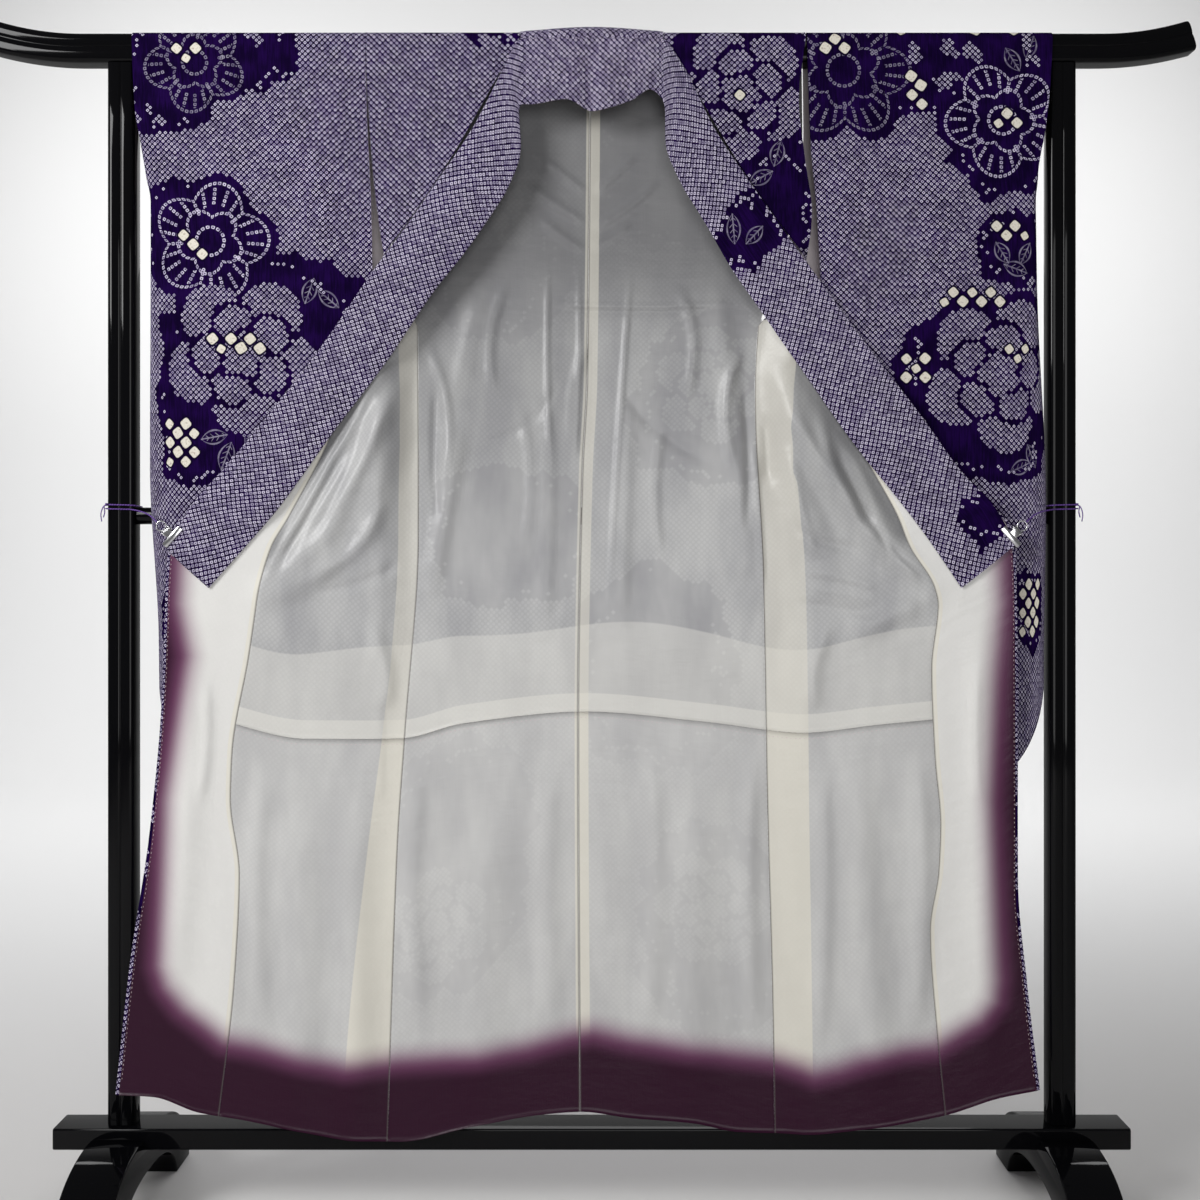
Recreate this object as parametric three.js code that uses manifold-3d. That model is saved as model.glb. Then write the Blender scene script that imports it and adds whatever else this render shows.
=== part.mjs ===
// A furisode kimono hung on a lacquered kimono stand, its fronts clipped wide open.
// Millimetres, +Z up. X runs along the top bar and -Y is the side that the open fronts face.
// The origin is on the floor, under the middle of the stand.
import * as THREE from "three";
import { mergeVertices } from "three/addons/utils/BufferGeometryUtils.js";
import Module from "manifold-3d";

const wasm = await Module();
wasm.setup();

// ---------------------------------------------------------------- driving dimensions

const SEAM_GAP = 0.3; // between pieces that are sewn together
const SHELL_WALL = 1.2;
const LINING_WALL = 1.0;
const COLLAR_WALL = 2.4; // folded double

const BAR = { top: 1736, tall: 43, deep: 36, straight: 750, end: 882, rise: 19 };
const POST = { x: 692, wide: 43, deep: 33 };
const MID_RAIL = { z: 1027, diameter: 25 };
const BASE_RAIL = { bottom: 100, tall: 31, deep: 54, half: 787 };
const FOOT = { wide: 78, reach: 185, cheek: 115, pad: 62, arch: 62 };

const CLOTH_TOP = BAR.top + 0.6; // inner face of the shell where it lies over the bar
const WRAP = { flat: 9, bend: 11 }; // half the flat on top of the bar, then the bend down its side
const SHOULDER = { z: CLOTH_TOP - WRAP.bend }; // where that bend ends
const CUFF = 230; // open height of the cuff
const SLEEVE = { bottom: 632, cornerWide: 100, cornerTall: 160 };
const DOOR_STEP = 62; // how far past the side seam a front has come forward over its sleeve

// Where the back hangs: behind the top bar, before the middle rail, before the base rail.
const BACK_DEPTH = [
  { z: 1735, y: 20 },
  { z: 1630, y: 17.6 },
  { z: 1330, y: 0 },
  { z: 1040, y: -14.6 },
  { z: 900, y: -19 },
  { z: 620, y: -26 },
  { z: 110, y: -36 },
];
const CENTRE_SEAM = [
  { z: 1740, x: -2 },
  { z: 1227, x: -7 },
  { z: 1085, x: -14 },
  { z: 736, x: -20 },
  { z: 150, x: -17 },
];
// An opened front just past its side seam, before the sleeve behind it.
const DOOR_DEPTH = [
  { z: 1400, y: -30.5 },
  { z: 650, y: -31 },
  { z: 400, y: -35 },
  { z: 110, y: -42 },
];
// The free edge of an opened front, from the collar's line down to the hem.
const EDGE_DEPTH = [
  { z: 1400, y: -31 },
  { z: 1194, y: -37 },
  { z: 1090, y: -42 },
  { z: 976, y: -46 },
  { z: 860, y: -44 },
  { z: 600, y: -43 },
  { z: 375, y: -45 },
  { z: 150, y: -50 },
];
// The sleeves: one wall before the bar, one behind it and before the middle rail.
const SLEEVE_FRONT = [
  { z: 1735, y: -20 },
  { z: 1560, y: -23.5 },
  { z: 1040, y: -24.4 },
  { z: 630, y: -24.6 },
];
const SLEEVE_BACK = [
  { z: 1735, y: 20 },
  { z: 1630, y: 17.6 },
  { z: 1330, y: 1 },
  { z: 1040, y: -15.2 },
  { z: 630, y: -15.6 },
];

// Height of the hem line across the garment.
const HEM = [
  { x: -687, z: 190 },
  { x: -633, z: 187 },
  { x: -567, z: 164 },
  { x: -506, z: 153 },
  { x: -414, z: 133 },
  { x: -340, z: 120 },
  { x: -279, z: 117 },
  { x: -168, z: 140 },
  { x: -71, z: 156 },
  { x: -14, z: 160 },
  { x: 56, z: 151 },
  { x: 147, z: 144 },
  { x: 214, z: 131 },
  { x: 302, z: 129 },
  { x: 394, z: 138 },
  { x: 511, z: 160 },
  { x: 588, z: 185 },
  { x: 648, z: 197 },
];
// Where the upper lining meets the hem lining.
const LINING_JOIN = [
  { x: -540, z: 730 },
  { x: -416, z: 702 },
  { x: -280, z: 701 },
  { x: -187, z: 723 },
  { x: -10, z: 740 },
  { x: 167, z: 725 },
  { x: 304, z: 710 },
  { x: 413, z: 722 },
  { x: 520, z: 733 },
];

// The collar at the neck: its free edge before the bar, and the crease at its middle.
const NECK = { half: 105, behind: 14, puff: 5, creaseX: -1, creaseWide: 9, creaseDeep: 6 };
const NECK_EDGE = [
  { x: -107, z: 1627 },
  { x: -90, z: 1625 },
  { x: -37, z: 1632 },
  { x: 0, z: 1615 },
  { x: 60, z: 1631 },
  { x: 85, z: 1648 },
  { x: 107, z: 1630 },
];

// The clips: their place is the middle of the jaws, tipped by an angle from upright.
const CLIP = {
  x: 604,
  y: -47.2,
  z: 995,
  tip: THREE.MathUtils.degToRad(48),
  jaw: 35,
  arm: 12,
  plate: 1.6,
  grip: 8.2,
  barrel: { out: 12.5, long: 14 },
  ring: { out: 23.6, radius: 7, wire: 1 },
};
const CORD = { diameter: 2, knot: 5.5, off: 2.3, low: 1036, high: 1043 };
// A cord's span from its clip's ring to the post, before it goes once round the post.
const CORD_SPAN = [
  { x: 627.6, y: -47.2, z: 1016.2 },
  { x: 634, y: -44, z: 1021.5 },
  { x: 642, y: -39, z: 1027 },
  { x: 652, y: -34, z: 1031 },
  { x: 664, y: -29.5, z: 1034 },
  { x: 675, y: -23.5, z: 1035.6 },
];

// Each side's lines, as distances from the middle of the bar.
const SIDES = {
  left: {
    sign: -1,
    backEdge: [
      { z: 1745, x: 332 },
      { z: 1600, x: 326 },
      { z: 1460, x: 306 },
      { z: 1316, x: 257 },
      { z: 991, x: 254 },
      { z: 703, x: 273 },
      { z: 544, x: 283 },
      { z: 100, x: 297 },
    ],
    // Rows of a front from the shoulder until it has turned over behind the collar.
    // a is its armhole side, b the side that is sewn to the collar.
    turn: [
      { run: 26.3, ax: 332, ay: -20, az: SHOULDER.z, bx: 106, by: -20, bz: SHOULDER.z },
      { run: 126, ax: 328, ay: -20.5, az: 1635, bx: 155, by: -24, bz: 1637 },
      { run: 214, ax: 322, ay: -21, az: 1547, bx: 205, by: -26, bz: 1549 },
      { run: 296, ax: 313, ay: -21.5, az: 1466, bx: 262, by: -28, bz: 1463 },
      { run: 364, ax: 301, ay: -19, az: 1400, bx: 304, by: -31, bz: 1402 },
      { run: 412, ax: 279, ay: -11, az: 1350, bx: 331, by: -31.5, bz: 1352 },
      { run: 455, ax: 257.5, ay: -1, az: 1308, bx: 344, by: -32, bz: 1310 },
    ],
    gore: [
      { z: 1345, x: 333 },
      { z: 1310, x: 344 },
      { z: 1172, x: 372 },
      { z: 1034, x: 440 },
      { z: 986, x: 465 },
      { z: 927, x: 481 },
      { z: 824, x: 497 },
      { z: 676, x: 521 },
      { z: 613, x: 523 },
      { z: 510, x: 510 },
      { z: 354, x: 517 },
      { z: 150, x: 539 },
    ],
    edge: [
      { z: 1400, x: 306 },
      { z: 1337, x: 345 },
      { z: 1276, x: 391 },
      { z: 1194, x: 452 },
      { z: 1090, x: 536 },
      { z: 1045, x: 576 },
      { z: 1005, x: 606 },
      { z: 964, x: 614 },
      { z: 750, x: 623 },
      { z: 559, x: 641 },
      { z: 375, x: 668 },
      { z: 185, x: 688 },
    ],
    sleeveInner: [
      { z: 1745, x: 333 },
      { z: 1600, x: 328 },
      { z: 1466, x: 322 },
      { z: 1320, x: 320 },
      { z: 600, x: 318 },
    ],
    sleeveOuter: [
      { z: 1745, x: 675 },
      { z: 1620, x: 668 },
      { z: 1569, x: 659 },
      { z: 1488, x: 648 },
      { z: 1093, x: 646 },
      { z: 845, x: 633 },
      { z: 600, x: 631 },
    ],
    // The collar: its sewn line (a) and its free edge (b), from the neck down to its end.
    collar: [
      { along: 0, ax: 107, ay: -23.5, az: 1726, bx: 107, by: -29.7, bz: 1627 },
      { along: 60, ax: 134, ay: -25.5, az: 1671, bx: 103, by: -31, bz: 1562 },
      { along: 140, ax: 172, ay: -27.5, az: 1595, bx: 119, by: -31, bz: 1510 },
      { along: 240, ax: 227, ay: -29.5, az: 1512, bx: 153, by: -31, bz: 1454 },
      { along: 325, ax: 275, ay: -32, az: 1441, bx: 190, by: -32, bz: 1402 },
      { along: 390, ax: 313, ay: -34, az: 1389, bx: 226, by: -33, bz: 1357 },
      { along: 520, ax: 389, ay: -37, az: 1276, bx: 303, by: -34, bz: 1243 },
      { along: 625, ax: 451, ay: -40, az: 1194, bx: 369, by: -38, bz: 1155 },
      { along: 755, ax: 535, ay: -45, az: 1090, bx: 455, by: -43, bz: 1034 },
      { along: 815, ax: 575, ay: -47, az: 1045, bx: 487, by: -45, bz: 996 },
      { along: 890, ax: 613, ay: -49, az: 976, bx: 553, by: -47, bz: 921 },
    ],
  },
  right: {
    sign: 1,
    backEdge: [
      { z: 1745, x: 313 },
      { z: 1600, x: 314 },
      { z: 1460, x: 296 },
      { z: 1316, x: 246 },
      { z: 1198, x: 240 },
      { z: 934, x: 251 },
      { z: 611, x: 256 },
      { z: 315, x: 263 },
      { z: 100, x: 266 },
    ],
    turn: [
      { run: 26.3, ax: 313, ay: -20, az: SHOULDER.z, bx: 106, by: -20, bz: SHOULDER.z },
      { run: 126, ax: 303, ay: -20.5, az: 1635, bx: 158, by: -24, bz: 1637 },
      { run: 214, ax: 312, ay: -21, az: 1549, bx: 209, by: -26, bz: 1549 },
      { run: 296, ax: 322, ay: -21.5, az: 1470, bx: 266, by: -28, bz: 1463 },
      { run: 364, ax: 313, ay: -19, az: 1402, bx: 309, by: -31, bz: 1402 },
      { run: 412, ax: 282, ay: -11, az: 1350, bx: 332, by: -31.5, bz: 1352 },
      { run: 455, ax: 245.5, ay: -1, az: 1308, bx: 345, by: -32, bz: 1310 },
    ],
    gore: [
      { z: 1345, x: 334 },
      { z: 1310, x: 345 },
      { z: 1150, x: 383 },
      { z: 1031, x: 442 },
      { z: 983, x: 460 },
      { z: 923, x: 495 },
      { z: 895, x: 501 },
      { z: 805, x: 492 },
      { z: 676, x: 497 },
      { z: 577, x: 505 },
      { z: 510, x: 502 },
      { z: 430, x: 489 },
      { z: 281, x: 499 },
      { z: 150, x: 511 },
    ],
    edge: [
      { z: 1400, x: 311 },
      { z: 1361, x: 337 },
      { z: 1267, x: 406 },
      { z: 1172, x: 478 },
      { z: 1086, x: 539 },
      { z: 1045, x: 578 },
      { z: 1010, x: 606 },
      { z: 972, x: 613 },
      { z: 750, x: 617 },
      { z: 504, x: 617 },
      { z: 349, x: 630 },
      { z: 190, x: 648 },
    ],
    sleeveInner: [
      { z: 1745, x: 314.5 },
      { z: 1631, x: 317 },
      { z: 1562, x: 320 },
      { z: 1477, x: 328 },
      { z: 1320, x: 335 },
      { z: 600, x: 337 },
    ],
    sleeveOuter: [
      { z: 1745, x: 676 },
      { z: 1651, x: 670 },
      { z: 1591, x: 663 },
      { z: 1520, x: 652 },
      { z: 1371, x: 653 },
      { z: 1046, x: 664 },
      { z: 804, x: 661 },
      { z: 600, x: 661 },
    ],
    collar: [
      { along: 0, ax: 107, ay: -23.5, az: 1726, bx: 107, by: -29.7, bz: 1630 },
      { along: 60, ax: 141, ay: -25.5, az: 1671, bx: 107, by: -31, bz: 1574 },
      { along: 140, ax: 177, ay: -27.5, az: 1595, bx: 125, by: -31, bz: 1520 },
      { along: 240, ax: 231, ay: -29.5, az: 1512, bx: 166, by: -31, bz: 1451 },
      { along: 325, ax: 280, ay: -32, az: 1441, bx: 203, by: -32, bz: 1386 },
      { along: 395, ax: 322, ay: -34, az: 1381, bx: 241, by: -33, bz: 1331 },
      { along: 520, ax: 404, ay: -37, az: 1267, bx: 314, by: -34, bz: 1225 },
      { along: 640, ax: 476, ay: -40.5, az: 1172, bx: 390, by: -39, bz: 1117 },
      { along: 745, ax: 537, ay: -45, az: 1086, bx: 446, by: -43, bz: 1046 },
      { along: 805, ax: 577, ay: -47, az: 1045, bx: 482, by: -45, bz: 998 },
      { along: 880, ax: 612, ay: -49, az: 984, bx: 534, by: -47, bz: 921 },
    ],
  },
};

// The largest folds: a curved crest through three places, its half width and how far it
// stands forward. A trough has a negative rise.
const FOLDS = [
  { x0: -478, z0: 914, xm: -356, zm: 1050, x1: -262, z1: 1290, wide: 20, rise: 9 },
  { x0: -474, z0: 905, xm: -400, zm: 940, x1: -372, z1: 990, wide: 16, rise: 5 },
  { x0: -268, z0: 1180, xm: -310, zm: 1070, x1: -336, z1: 960, wide: 18, rise: 6 },
  { x0: -190, z0: 1180, xm: -215, zm: 1040, x1: -238, z1: 890, wide: 16, rise: 7 },
  { x0: -160, z0: 1360, xm: -180, zm: 1280, x1: -196, z1: 1200, wide: 18, rise: 5 },
  { x0: -440, z0: 620, xm: -420, zm: 420, x1: -430, z1: 160, wide: 30, rise: 7 },
  { x0: -575, z0: 860, xm: -585, zm: 600, x1: -610, z1: 300, wide: 22, rise: 6 },
  { x0: -340, z0: 640, xm: -345, zm: 400, x1: -330, z1: 140, wide: 26, rise: 6 },
  { x0: 250, z0: 1290, xm: 330, zm: 1110, x1: 489, z1: 920, wide: 20, rise: 9 },
  { x0: 262, z0: 1200, xm: 300, zm: 1080, x1: 345, z1: 950, wide: 18, rise: 5 },
  { x0: 484, z0: 900, xm: 430, zm: 880, x1: 380, z1: 850, wide: 16, rise: 5 },
  { x0: 185, z0: 1360, xm: 205, zm: 1180, x1: 226, z1: 960, wide: 18, rise: 6 },
  { x0: 380, z0: 700, xm: 395, zm: 440, x1: 420, z1: 160, wide: 28, rise: 7 },
  { x0: 560, z0: 860, xm: 565, zm: 600, x1: 570, z1: 240, wide: 22, rise: 6 },
  { x0: 55, z0: 1260, xm: 45, zm: 1000, x1: 40, z1: 860, wide: 14, rise: 4 },
  { x0: -62, z0: 1260, xm: -66, zm: 1000, x1: -70, z1: 860, wide: 14, rise: 4 },
  { x0: -150, z0: 620, xm: -160, zm: 400, x1: -160, z1: 150, wide: 34, rise: 6 },
  { x0: 150, z0: 620, xm: 140, zm: 400, x1: 150, z1: 150, wide: 34, rise: 6 },
];

const COLOURS = {
  shell: { color: 0x5f4f96, roughness: 0.85, metalness: 0 },
  lining: { color: 0xd8d8d2, roughness: 0.45, metalness: 0 },
  hemLining: { color: 0x8a5a86, roughness: 0.45, metalness: 0 },
  lacquer: { color: 0x0a0a0b, roughness: 0.15, metalness: 0 },
  chrome: { color: 0xc8c8cc, roughness: 0.18, metalness: 1 },
  cord: { color: 0x3a1d68, roughness: 0.7, metalness: 0 },
};

// ---------------------------------------------------------------- helpers

const mix = (a, b, t) => a + (b - a) * t;
const clamp01 = (t) => Math.min(1, Math.max(0, t));
const ease = (t) => clamp01(t) ** 2 * (3 - 2 * clamp01(t));

// A smooth line through one column of a table, read at a place along another column.
// It never swings past its rows.
function through(rows, key, column) {
  const sorted = [...rows].sort((p, q) => p[key] - q[key]);
  const at = sorted.map((row) => row[key]);
  const value = sorted.map((row) => row[column]);
  const chord = at.slice(1).map((x, i) => (value[i + 1] - value[i]) / (x - at[i]));
  const slope = at.map((_, i) => {
    if (i === 0) return chord[0];
    if (i === at.length - 1) return chord[i - 1];
    const [before, after] = [chord[i - 1], chord[i]];
    return before * after <= 0 ? 0 : (2 * before * after) / (before + after);
  });
  return (x) => {
    if (x <= at[0]) return value[0] + slope[0] * (x - at[0]);
    let i = at.findIndex((edge) => edge >= x) - 1;
    if (i < 0) {
      i = at.length - 1;
      return value[i] + slope[i] * (x - at[i]);
    }
    const h = at[i + 1] - at[i];
    const t = (x - at[i]) / h;
    return (
      value[i] * (1 + 2 * t) * (1 - t) ** 2 +
      slope[i] * h * t * (1 - t) ** 2 +
      value[i + 1] * t * t * (3 - 2 * t) +
      slope[i + 1] * h * t * t * (t - 1)
    );
  };
}

const backDepth = through(BACK_DEPTH, "z", "y");
const doorDepth = through(DOOR_DEPTH, "z", "y");
const edgeDepth = through(EDGE_DEPTH, "z", "y");
const sleeveFront = through(SLEEVE_FRONT, "z", "y");
const sleeveBack = through(SLEEVE_BACK, "z", "y");
const centreX = through(CENTRE_SEAM, "z", "x");
const hemZ = through(HEM, "x", "z");
const joinZ = through(LINING_JOIN, "x", "z");

for (const side of Object.values(SIDES)) {
  side.backX = through(side.backEdge, "z", "x");
  side.goreX = through(side.gore, "z", "x");
  side.edgeX = through(side.edge, "z", "x");
  side.sleeveInX = through(side.sleeveInner, "z", "x");
  side.sleeveOutX = through(side.sleeveOuter, "z", "x");
}

// Each fold's crest as short straight steps.
const CREST_STEPS = 6;
const crests = FOLDS.map((fold) => {
  const steps = [];
  for (let i = 0; i <= CREST_STEPS; i++) {
    const t = i / CREST_STEPS;
    const bend = 2 * t * (1 - t);
    const cx = 2 * fold.xm - (fold.x0 + fold.x1) / 2;
    const cz = 2 * fold.zm - (fold.z0 + fold.z1) / 2;
    steps.push({
      x: fold.x0 * (1 - t) ** 2 + cx * bend + fold.x1 * t * t,
      z: fold.z0 * (1 - t) ** 2 + cz * bend + fold.z1 * t * t,
    });
  }
  return { ...fold, steps };
});

// How far the folds bring the cloth forward at a place.
function foldRise(x, z) {
  let rise = 0;
  for (const crest of crests) {
    let nearest = Infinity;
    let along = 0;
    for (let i = 0; i < CREST_STEPS; i++) {
      const [p, q] = [crest.steps[i], crest.steps[i + 1]];
      const [dx, dz] = [q.x - p.x, q.z - p.z];
      const t = clamp01(((x - p.x) * dx + (z - p.z) * dz) / (dx * dx + dz * dz));
      const far = Math.hypot(x - p.x - dx * t, z - p.z - dz * t);
      if (far < nearest) {
        nearest = far;
        along = (i + t) / CREST_STEPS;
      }
    }
    const taper = ease(along / 0.25) * ease((1 - along) / 0.25);
    rise += crest.rise * (0.25 + 0.75 * taper) * Math.exp(-((nearest / crest.wide) ** 2));
  }
  return rise;
}

// Depth of the hanging cloth: the back, and past the side seams the opened fronts.
function clothDepth(x, z) {
  const side = x < centreX(z) ? SIDES.left : SIDES.right;
  const seam = side.backX(z);
  const past = Math.abs(x) - seam;
  const back = backDepth(z);
  if (past <= 0 || z > 1480) return back - foldRise(x, z) * ease((1480 - z) / 100);
  const door = mix(back, doorDepth(z), ease(past / DOOR_STEP));
  const open = ease(past / Math.max(40, side.edgeX(z) - seam));
  return mix(door, edgeDepth(z), open * ease(past / DOOR_STEP)) - foldRise(x, z);
}

// The way over the top bar, after a run of cloth from the shoulder line.
const BEND_RUN = (WRAP.bend * Math.PI) / 2;
const WRAP_RUN = WRAP.flat + BEND_RUN;
const WRAP_SHARE = 0.06; // of a panel's rows, kept for the stretch on the bar
const WRAP_STOPS = [0, WRAP.flat, WRAP.flat + BEND_RUN / 3, WRAP.flat + (BEND_RUN * 2) / 3];
function overBar(run) {
  if (run < WRAP.flat) return { y: run, z: CLOTH_TOP };
  const turn = Math.min(run - WRAP.flat, BEND_RUN) / WRAP.bend;
  const down = Math.max(0, run - WRAP_RUN);
  return {
    y: WRAP.flat + WRAP.bend * Math.sin(turn),
    z: CLOTH_TOP - WRAP.bend * (1 - Math.cos(turn)) - down,
  };
}

// A closed wall on a surface: place(u, v) gives its points, and near and far are how far
// its two faces stand off along the surface's own normal.
function wall(place, us, vs, near, far, turned) {
  const step = 1e-3;
  const faces = [[], []];
  for (const v of vs)
    for (const u of us) {
      const at = place(u, v);
      const du = place(u + step, v).sub(place(u - step, v));
      const dv = place(u, v + step).sub(place(u, v - step));
      const normal = du.cross(dv).normalize().multiplyScalar(turned);
      faces[0].push(at.clone().addScaledVector(normal, near));
      faces[1].push(at.clone().addScaledVector(normal, far));
    }
  const cols = us.length;
  const rows = vs.length;
  const half = cols * rows;
  const points = [...faces[0], ...faces[1]];
  const index = [];
  const quad = (a, b, c, d) => index.push(a, b, c, a, c, d);
  for (let r = 0; r + 1 < rows; r++)
    for (let c = 0; c + 1 < cols; c++) {
      const i = r * cols + c;
      quad(i, i + cols, i + cols + 1, i + 1);
      quad(half + i, half + i + 1, half + i + cols + 1, half + i + cols);
    }
  for (let c = 0; c + 1 < cols; c++) {
    const last = (rows - 1) * cols + c;
    quad(c, c + 1, half + c + 1, half + c);
    quad(last, half + last, half + last + 1, last + 1);
  }
  for (let r = 0; r + 1 < rows; r++) {
    const first = r * cols;
    const end = first + cols - 1;
    quad(first, half + first, half + first + cols, first + cols);
    quad(end, end + cols, half + end + cols, half + end);
  }
  const geometry = new THREE.BufferGeometry().setFromPoints(points);
  geometry.setIndex(index);
  return outward(geometry);
}

// Turns a closed mesh's faces outward.
function outward(geometry) {
  const p = geometry.getAttribute("position");
  const [a, b, c] = [new THREE.Vector3(), new THREE.Vector3(), new THREE.Vector3()];
  let volume = 0;
  for (let i = 0; i < geometry.index.count; i += 3) {
    a.fromBufferAttribute(p, geometry.index.getX(i));
    b.fromBufferAttribute(p, geometry.index.getX(i + 1));
    c.fromBufferAttribute(p, geometry.index.getX(i + 2));
    volume += a.dot(b.cross(c));
  }
  if (volume < 0) {
    const turned = geometry.index.array.slice().reverse();
    geometry.setIndex(Array.from(turned));
  }
  return geometry;
}

const evenly = (from, to, count) =>
  Array.from({ length: count + 1 }, (_, i) => mix(from, to, i / count));

// Joins and cuts.
function solid(geometry) {
  const bare = geometry.clone();
  bare.deleteAttribute("normal");
  bare.deleteAttribute("uv");
  const merged = mergeVertices(bare, 1e-4);
  return new wasm.Manifold(
    new wasm.Mesh({
      numProp: 3,
      vertProperties: new Float32Array(merged.getAttribute("position").array),
      triVerts: new Uint32Array(merged.index.array),
    }),
  );
}
function fromSolid(made) {
  const mesh = made.getMesh();
  const geometry = new THREE.BufferGeometry();
  geometry.setAttribute("position", new THREE.BufferAttribute(mesh.vertProperties, 3));
  geometry.setIndex(new THREE.BufferAttribute(mesh.triVerts, 1));
  return geometry;
}
const joined = (...parts) => fromSolid(parts.map(solid).reduce((a, b) => a.add(b)));

// A box from its lowest to its highest corner.
function block(x0, x1, y0, y1, z0, z1) {
  const box = new THREE.BoxGeometry(x1 - x0, y1 - y0, z1 - z0);
  return box.translate((x0 + x1) / 2, (y0 + y1) / 2, (z0 + z1) / 2);
}

// A tube along a route, with eight sides.
function tube(route, diameter, steps) {
  const round = new THREE.Shape();
  round.absarc(0, 0, diameter / 2, 0, 2 * Math.PI, false);
  const stops = route.map((p) => new THREE.Vector3(...p));
  const path = new THREE.CatmullRomCurve3(stops, false, "centripetal");
  return new THREE.ExtrudeGeometry(round, { steps, extrudePath: path, curveSegments: 4 });
}

const kimono = new THREE.Group();
function add(name, geometry, look) {
  const mesh = new THREE.Mesh(geometry, new THREE.MeshStandardMaterial(COLOURS[look]));
  mesh.name = name;
  kimono.add(mesh);
  return mesh;
}

// ---------------------------------------------------------------- stand

// The bar's section: a tall soft-cornered rectangle with a bead along its top and its foot.
function barSection() {
  const w = BAR.deep / 2;
  const h = BAR.tall / 2;
  const bead = 2; // depth of the hollow between the two beads
  const shape = new THREE.Shape();
  shape.moveTo(-w + 9, h);
  shape.lineTo(w - 9, h);
  shape.quadraticCurveTo(w, h, w, h - 12);
  shape.quadraticCurveTo(w, 4, w - bead, 1);
  shape.quadraticCurveTo(w, -3, w, -h + 9);
  shape.quadraticCurveTo(w, -h, w - 8, -h);
  shape.lineTo(-w + 8, -h);
  shape.quadraticCurveTo(-w, -h, -w, -h + 9);
  shape.quadraticCurveTo(-w, -3, -w + bead, 1);
  shape.quadraticCurveTo(-w, 4, -w, h - 12);
  shape.quadraticCurveTo(-w, h, -w + 9, h);
  return shape;
}

// The bar's ends sweep up, so its section is carried along and lifted.
function topBar() {
  const section = barSection().getPoints(2).slice(0, -1).reverse();
  const z = BAR.top - BAR.tall / 2;
  const sweep = [0.25, 0.5, 0.72, 0.88, 1];
  const stations = [
    ...sweep.map((t) => -mix(BAR.straight, BAR.end, t)).reverse(),
    -BAR.straight,
    BAR.straight,
    ...sweep.map((t) => mix(BAR.straight, BAR.end, t)),
  ];
  const points = [];
  for (const x of stations) {
    const t = clamp01((Math.abs(x) - BAR.straight) / (BAR.end - BAR.straight));
    const lean = ((2 * BAR.rise * t) / (BAR.end - BAR.straight)) * Math.sign(x);
    for (const p of section)
      points.push(new THREE.Vector3(x - lean * p.y, p.x, z + BAR.rise * t * t + p.y));
  }
  return outward(loft(points, section.length, stations.length));
}

// Skins rings of points that follow each other, and closes the first and the last.
function loft(points, around, rings) {
  const index = [];
  for (let r = 0; r + 1 < rings; r++)
    for (let i = 0; i < around; i++) {
      const j = (i + 1) % around;
      const [a, b] = [r * around + i, r * around + j];
      index.push(a, b, b + around, a, b + around, a + around);
    }
  const flat = points.slice(0, around).map((p) => new THREE.Vector2(p.y, p.z));
  const end = (rings - 1) * around;
  for (const [a, b, c] of THREE.ShapeUtils.triangulateShape(flat, [])) {
    index.push(a, c, b);
    index.push(end + a, end + b, end + c);
  }
  const geometry = new THREE.BufferGeometry().setFromPoints(points);
  geometry.setIndex(index);
  return geometry;
}

// A post: a rounded upright with a shallow groove down its front and back.
function post(sign) {
  const [w, d] = [POST.wide / 2, POST.deep / 2];
  const shape = new THREE.Shape();
  shape.moveTo(-w, 0);
  shape.quadraticCurveTo(-w, -d, -w + 9, -d);
  shape.lineTo(-3, -d);
  shape.lineTo(0, -d + 1.5);
  shape.lineTo(3, -d);
  shape.lineTo(w - 9, -d);
  shape.quadraticCurveTo(w, -d, w, 0);
  shape.quadraticCurveTo(w, d, w - 9, d);
  shape.lineTo(3, d);
  shape.lineTo(0, d - 1.5);
  shape.lineTo(-3, d);
  shape.lineTo(-w + 9, d);
  shape.quadraticCurveTo(-w, d, -w, 0);
  const tall = BAR.top - BAR.tall - SEAM_GAP - BASE_RAIL.bottom - BASE_RAIL.tall - SEAM_GAP;
  const body = new THREE.ExtrudeGeometry(shape, {
    depth: tall,
    bevelEnabled: false,
    curveSegments: 4,
  });
  return body.translate(sign * POST.x, 0, BASE_RAIL.bottom + BASE_RAIL.tall + SEAM_GAP);
}

function midRail() {
  const reach = POST.x - POST.wide / 2 - SEAM_GAP;
  const round = new THREE.CylinderGeometry(
    MID_RAIL.diameter / 2,
    MID_RAIL.diameter / 2,
    2 * reach,
    20,
  );
  return round.rotateZ(Math.PI / 2).translate(0, 0, MID_RAIL.z);
}

// A rail with a small chamfer along its four long edges.
function baseRail() {
  const [d, h, c] = [BASE_RAIL.deep / 2, BASE_RAIL.tall, 2.5];
  const outline = [
    [-d + c, 0],
    [d - c, 0],
    [d, c],
    [d, h - c],
    [d - c, h],
    [-d + c, h],
    [-d, h - c],
    [-d, c],
  ];
  const shape = new THREE.Shape(outline.map(([x, y]) => new THREE.Vector2(x, y)));
  const bar = new THREE.ExtrudeGeometry(shape, { depth: 2 * BASE_RAIL.half, bevelEnabled: false });
  bar.rotateX(Math.PI / 2).rotateZ(Math.PI / 2);
  return bar.translate(-BASE_RAIL.half, 0, BASE_RAIL.bottom);
}

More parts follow.
